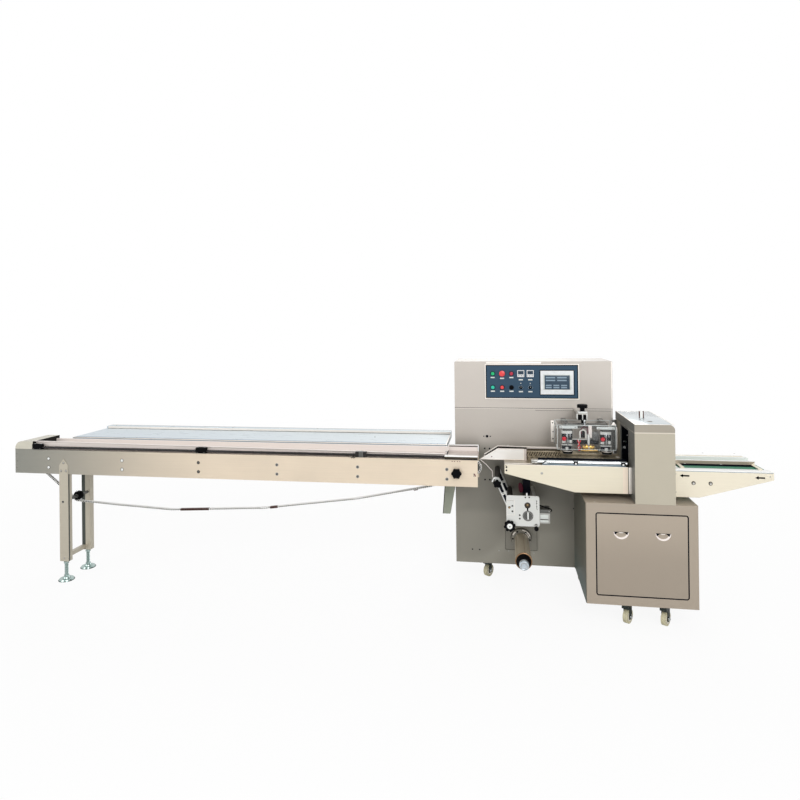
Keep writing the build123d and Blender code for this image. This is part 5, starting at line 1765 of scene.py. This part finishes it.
class WRAPPER_OT_casters(bpy.types.Operator):
    """Axle nuts, hubs and tyre lines of the casters"""

    bl_idname = "wrapper.casters"
    bl_label = "Casters"

    def execute(self, context):
        fittings = Piece("caster_fittings")
        lines = Piece("caster_tyre_lines")
        turn = math.radians(55)
        axle = Vector((math.sin(turn), -math.cos(turn), 0))
        for place in [(x, y) for x in (806, 1418) for y in (165, 350)] + [
            (x, y) for x in (1591, 1793) for y in (-378, -10)
        ]:
            centre = Vector((place[0] + 22 * math.cos(turn), place[1] + 22 * math.sin(turn), 40))
            for side in (-1, 1):
                way = axle * side
                fittings.add("chrome", bolt(centre + way * 19, way, 9, 6, False),
                             ring(12.5, 8, 1.6, centre + way * 19, way, 24))
                fittings.add("pale_trim_and_painted_highlight", ring(26, 20, 0.8, centre + way * 13, way, 32))
            for reach in (-8, 0, 8):
                lines.add("dark_brown_and_painted_shade", turned(
                    [(39.2, -0.7), (40.0, 0), (39.2, 0.7)], centre + axle * reach, axle, 48))
        fittings.done()
        lines.done()
        return {"FINISHED"}


# Stage


class WRAPPER_OT_stage(bpy.types.Operator):
    """Camera, floor and studio light"""

    bl_idname = "wrapper.stage"
    bl_label = "Stage"

    def execute(self, context):
        stage = context.scene.wrapper_stage
        scene = context.scene
        heading, pitch, roll = stage.turn
        right = Vector((math.cos(heading), -math.sin(heading), 0))
        forward = Vector(
            (
                math.sin(heading) * math.cos(pitch),
                math.cos(heading) * math.cos(pitch),
                math.sin(pitch),
            )
        )
        above = right.cross(forward)
        lens_right = math.cos(roll) * right + math.sin(roll) * above
        lens_up = math.cos(roll) * above - math.sin(roll) * right
        turn = Matrix((lens_right, lens_up, -forward)).transposed().to_4x4()
        camera = bpy.data.objects.new("camera", bpy.data.cameras.new("camera"))
        camera.matrix_world = Matrix.Translation(stage.camera) @ turn
        camera.data.sensor_width = 36.0
        camera.data.lens = stage.lens
        camera.data.shift_y = stage.shift
        camera.data.clip_end = 200.0
        scene.collection.objects.link(camera)
        scene.camera = camera

        for name, place, aim, size, power in (
            ("key_lamp", (2.6, -6.0, 4.2), (0.2, 0, 0.8), 4.0, stage.key),
            ("fill_lamp", (-4.5, -5.0, 3.0), (-1.2, 0, 0.8), 3.0, stage.key * 0.3),
            ("back_lamp", (1.0, 5.0, 4.5), (0, 0, 0.8), 3.5, stage.key * 0.45),
        ):
            lamp = bpy.data.objects.new(name, bpy.data.lights.new(name, "AREA"))
            lamp.data.shape = "DISK"
            lamp.data.size = size
            lamp.data.energy = power
            away = Vector(place) - Vector(aim)
            lamp.matrix_world = Matrix.Translation(place) @ facing(away)
            scene.collection.objects.link(lamp)

        world = bpy.data.worlds.new("studio")
        world.use_nodes = True
        tree = world.node_tree
        tree.nodes.clear()
        seen = tree.nodes.new("ShaderNodeLightPath")
        either = tree.nodes.new("ShaderNodeMath")
        either.operation = "MAXIMUM"
        tree.links.new(seen.outputs["Is Camera Ray"], either.inputs[0])
        tree.links.new(seen.outputs["Is Glossy Ray"], either.inputs[1])
        either_clear = tree.nodes.new("ShaderNodeMath")
        either_clear.operation = "MAXIMUM"
        tree.links.new(either.outputs[0], either_clear.inputs[0])
        tree.links.new(seen.outputs["Is Transmission Ray"], either_clear.inputs[1])
        level = tree.nodes.new("ShaderNodeMapRange")
        level.inputs["To Min"].default_value = stage.sky
        level.inputs["To Max"].default_value = 1.0
        tree.links.new(either_clear.outputs[0], level.inputs["Value"])
        background = tree.nodes.new("ShaderNodeBackground")
        background.inputs["Color"].default_value = (1.0, 1.0, 1.0, 1.0)
        tree.links.new(level.outputs["Result"], background.inputs["Strength"])
        output = tree.nodes.new("ShaderNodeOutputWorld")
        tree.links.new(background.outputs[0], output.inputs["Surface"])
        scene.world = world

        floor_finish = Finish("floor")
        grit = floor_finish.noise(40.0, 3.0)
        base = floor_finish.mix(grit, (0.86, 0.86, 0.86), (0.9, 0.9, 0.9))
        floor_finish.set(Base_Color=base, Roughness=0.9)
        reach = floor_finish.node(
            "ShaderNodeVectorMath", {"operation": "LENGTH"}, {0: floor_finish.place}
        )
        light_path = floor_finish.node("ShaderNodeLightPath")
        seen_white = Value(floor_finish, reach.outputs["Value"]).step(1.5, 7.0)
        share = 0.91 + 0.09 * seen_white
        camera_ray = Value(floor_finish, light_path.outputs["Is Camera Ray"])
        glow = floor_finish.node(
            "ShaderNodeEmission", {}, {"Color": (1.0, 1.0, 1.0), "Strength": 1.0}
        )
        blend = floor_finish.node(
            "ShaderNodeMixShader",
            {},
            {0: share * camera_ray, 1: floor_finish.shader.outputs[0], 2: glow.outputs[0]},
        )
        floor_finish.node(
            "ShaderNodeOutputMaterial", {"is_active_output": True}, {"Surface": blend.outputs[0]}
        )
        mesh = bpy.data.meshes.new("floor")
        shape = bmesh.new()
        bmesh.ops.create_grid(shape, x_segments=2, y_segments=2, size=60.0)
        shape.to_mesh(mesh)
        shape.free()
        mesh.materials.append(floor_finish.material)
        floor = bpy.data.objects.new("floor", mesh)
        scene.collection.objects.link(floor)

        scene.view_settings.view_transform = "Standard"
        return {"FINISHED"}


OPERATORS = (
    WRAPPER_OT_stage,
    WRAPPER_OT_finishes,
    WRAPPER_OT_cabinet,
    WRAPPER_OT_panel,
    WRAPPER_OT_infeed,
    WRAPPER_OT_chain,
    WRAPPER_OT_table,
    WRAPPER_OT_legs,
    WRAPPER_OT_wrapping,
    WRAPPER_OT_sealing,
    WRAPPER_OT_film_feed,
    WRAPPER_OT_film_shaft,
    WRAPPER_OT_end_seal,
    WRAPPER_OT_outfeed,
    WRAPPER_OT_casters,
)


class WRAPPER_PT_sidebar(bpy.types.Panel):
    """Lists the machine's pieces in the sidebar"""

    bl_idname = "WRAPPER_PT_sidebar"
    bl_label = "Flow Wrapping Machine"
    bl_space_type = "VIEW_3D"
    bl_region_type = "UI"
    bl_category = "Wrapper"

    def draw(self, context):
        for group in ("wrapper_colours", "wrapper_sizes", "wrapper_stage"):
            settings = getattr(context.scene, group)
            column = self.layout.column()
            for name in settings.__annotations__:
                column.prop(settings, name)
        for operator in OPERATORS:
            self.layout.operator(operator.bl_idname)


GROUPS = {
    "wrapper_colours": WrapperColours,
    "wrapper_sizes": WrapperSizes,
    "wrapper_stage": WrapperStage,
}


def register():
    for name, group in GROUPS.items():
        bpy.utils.register_class(group)
        setattr(bpy.types.Scene, name, bpy.props.PointerProperty(type=group))
    for operator in OPERATORS:
        bpy.utils.register_class(operator)
    bpy.utils.register_class(WRAPPER_PT_sidebar)


def unregister():
    bpy.utils.unregister_class(WRAPPER_PT_sidebar)
    for operator in reversed(OPERATORS):
        bpy.utils.unregister_class(operator)
    for name, group in GROUPS.items():
        delattr(bpy.types.Scene, name)
        bpy.utils.unregister_class(group)


def main():
    """Makes the whole model in the frame."""
    register()
    bpy.ops.wrapper.stage()
    bpy.ops.wrapper.finishes()
    bpy.ops.wrapper.cabinet()
    bpy.ops.wrapper.panel()
    bpy.ops.wrapper.infeed()
    bpy.ops.wrapper.chain()
    bpy.ops.wrapper.table()
    bpy.ops.wrapper.legs()
    bpy.ops.wrapper.wrapping()
    bpy.ops.wrapper.sealing()
    bpy.ops.wrapper.film_feed()
    bpy.ops.wrapper.film_shaft()
    bpy.ops.wrapper.end_seal()
    bpy.ops.wrapper.outfeed()
    bpy.ops.wrapper.casters()


if __name__ == "__main__":
    main()
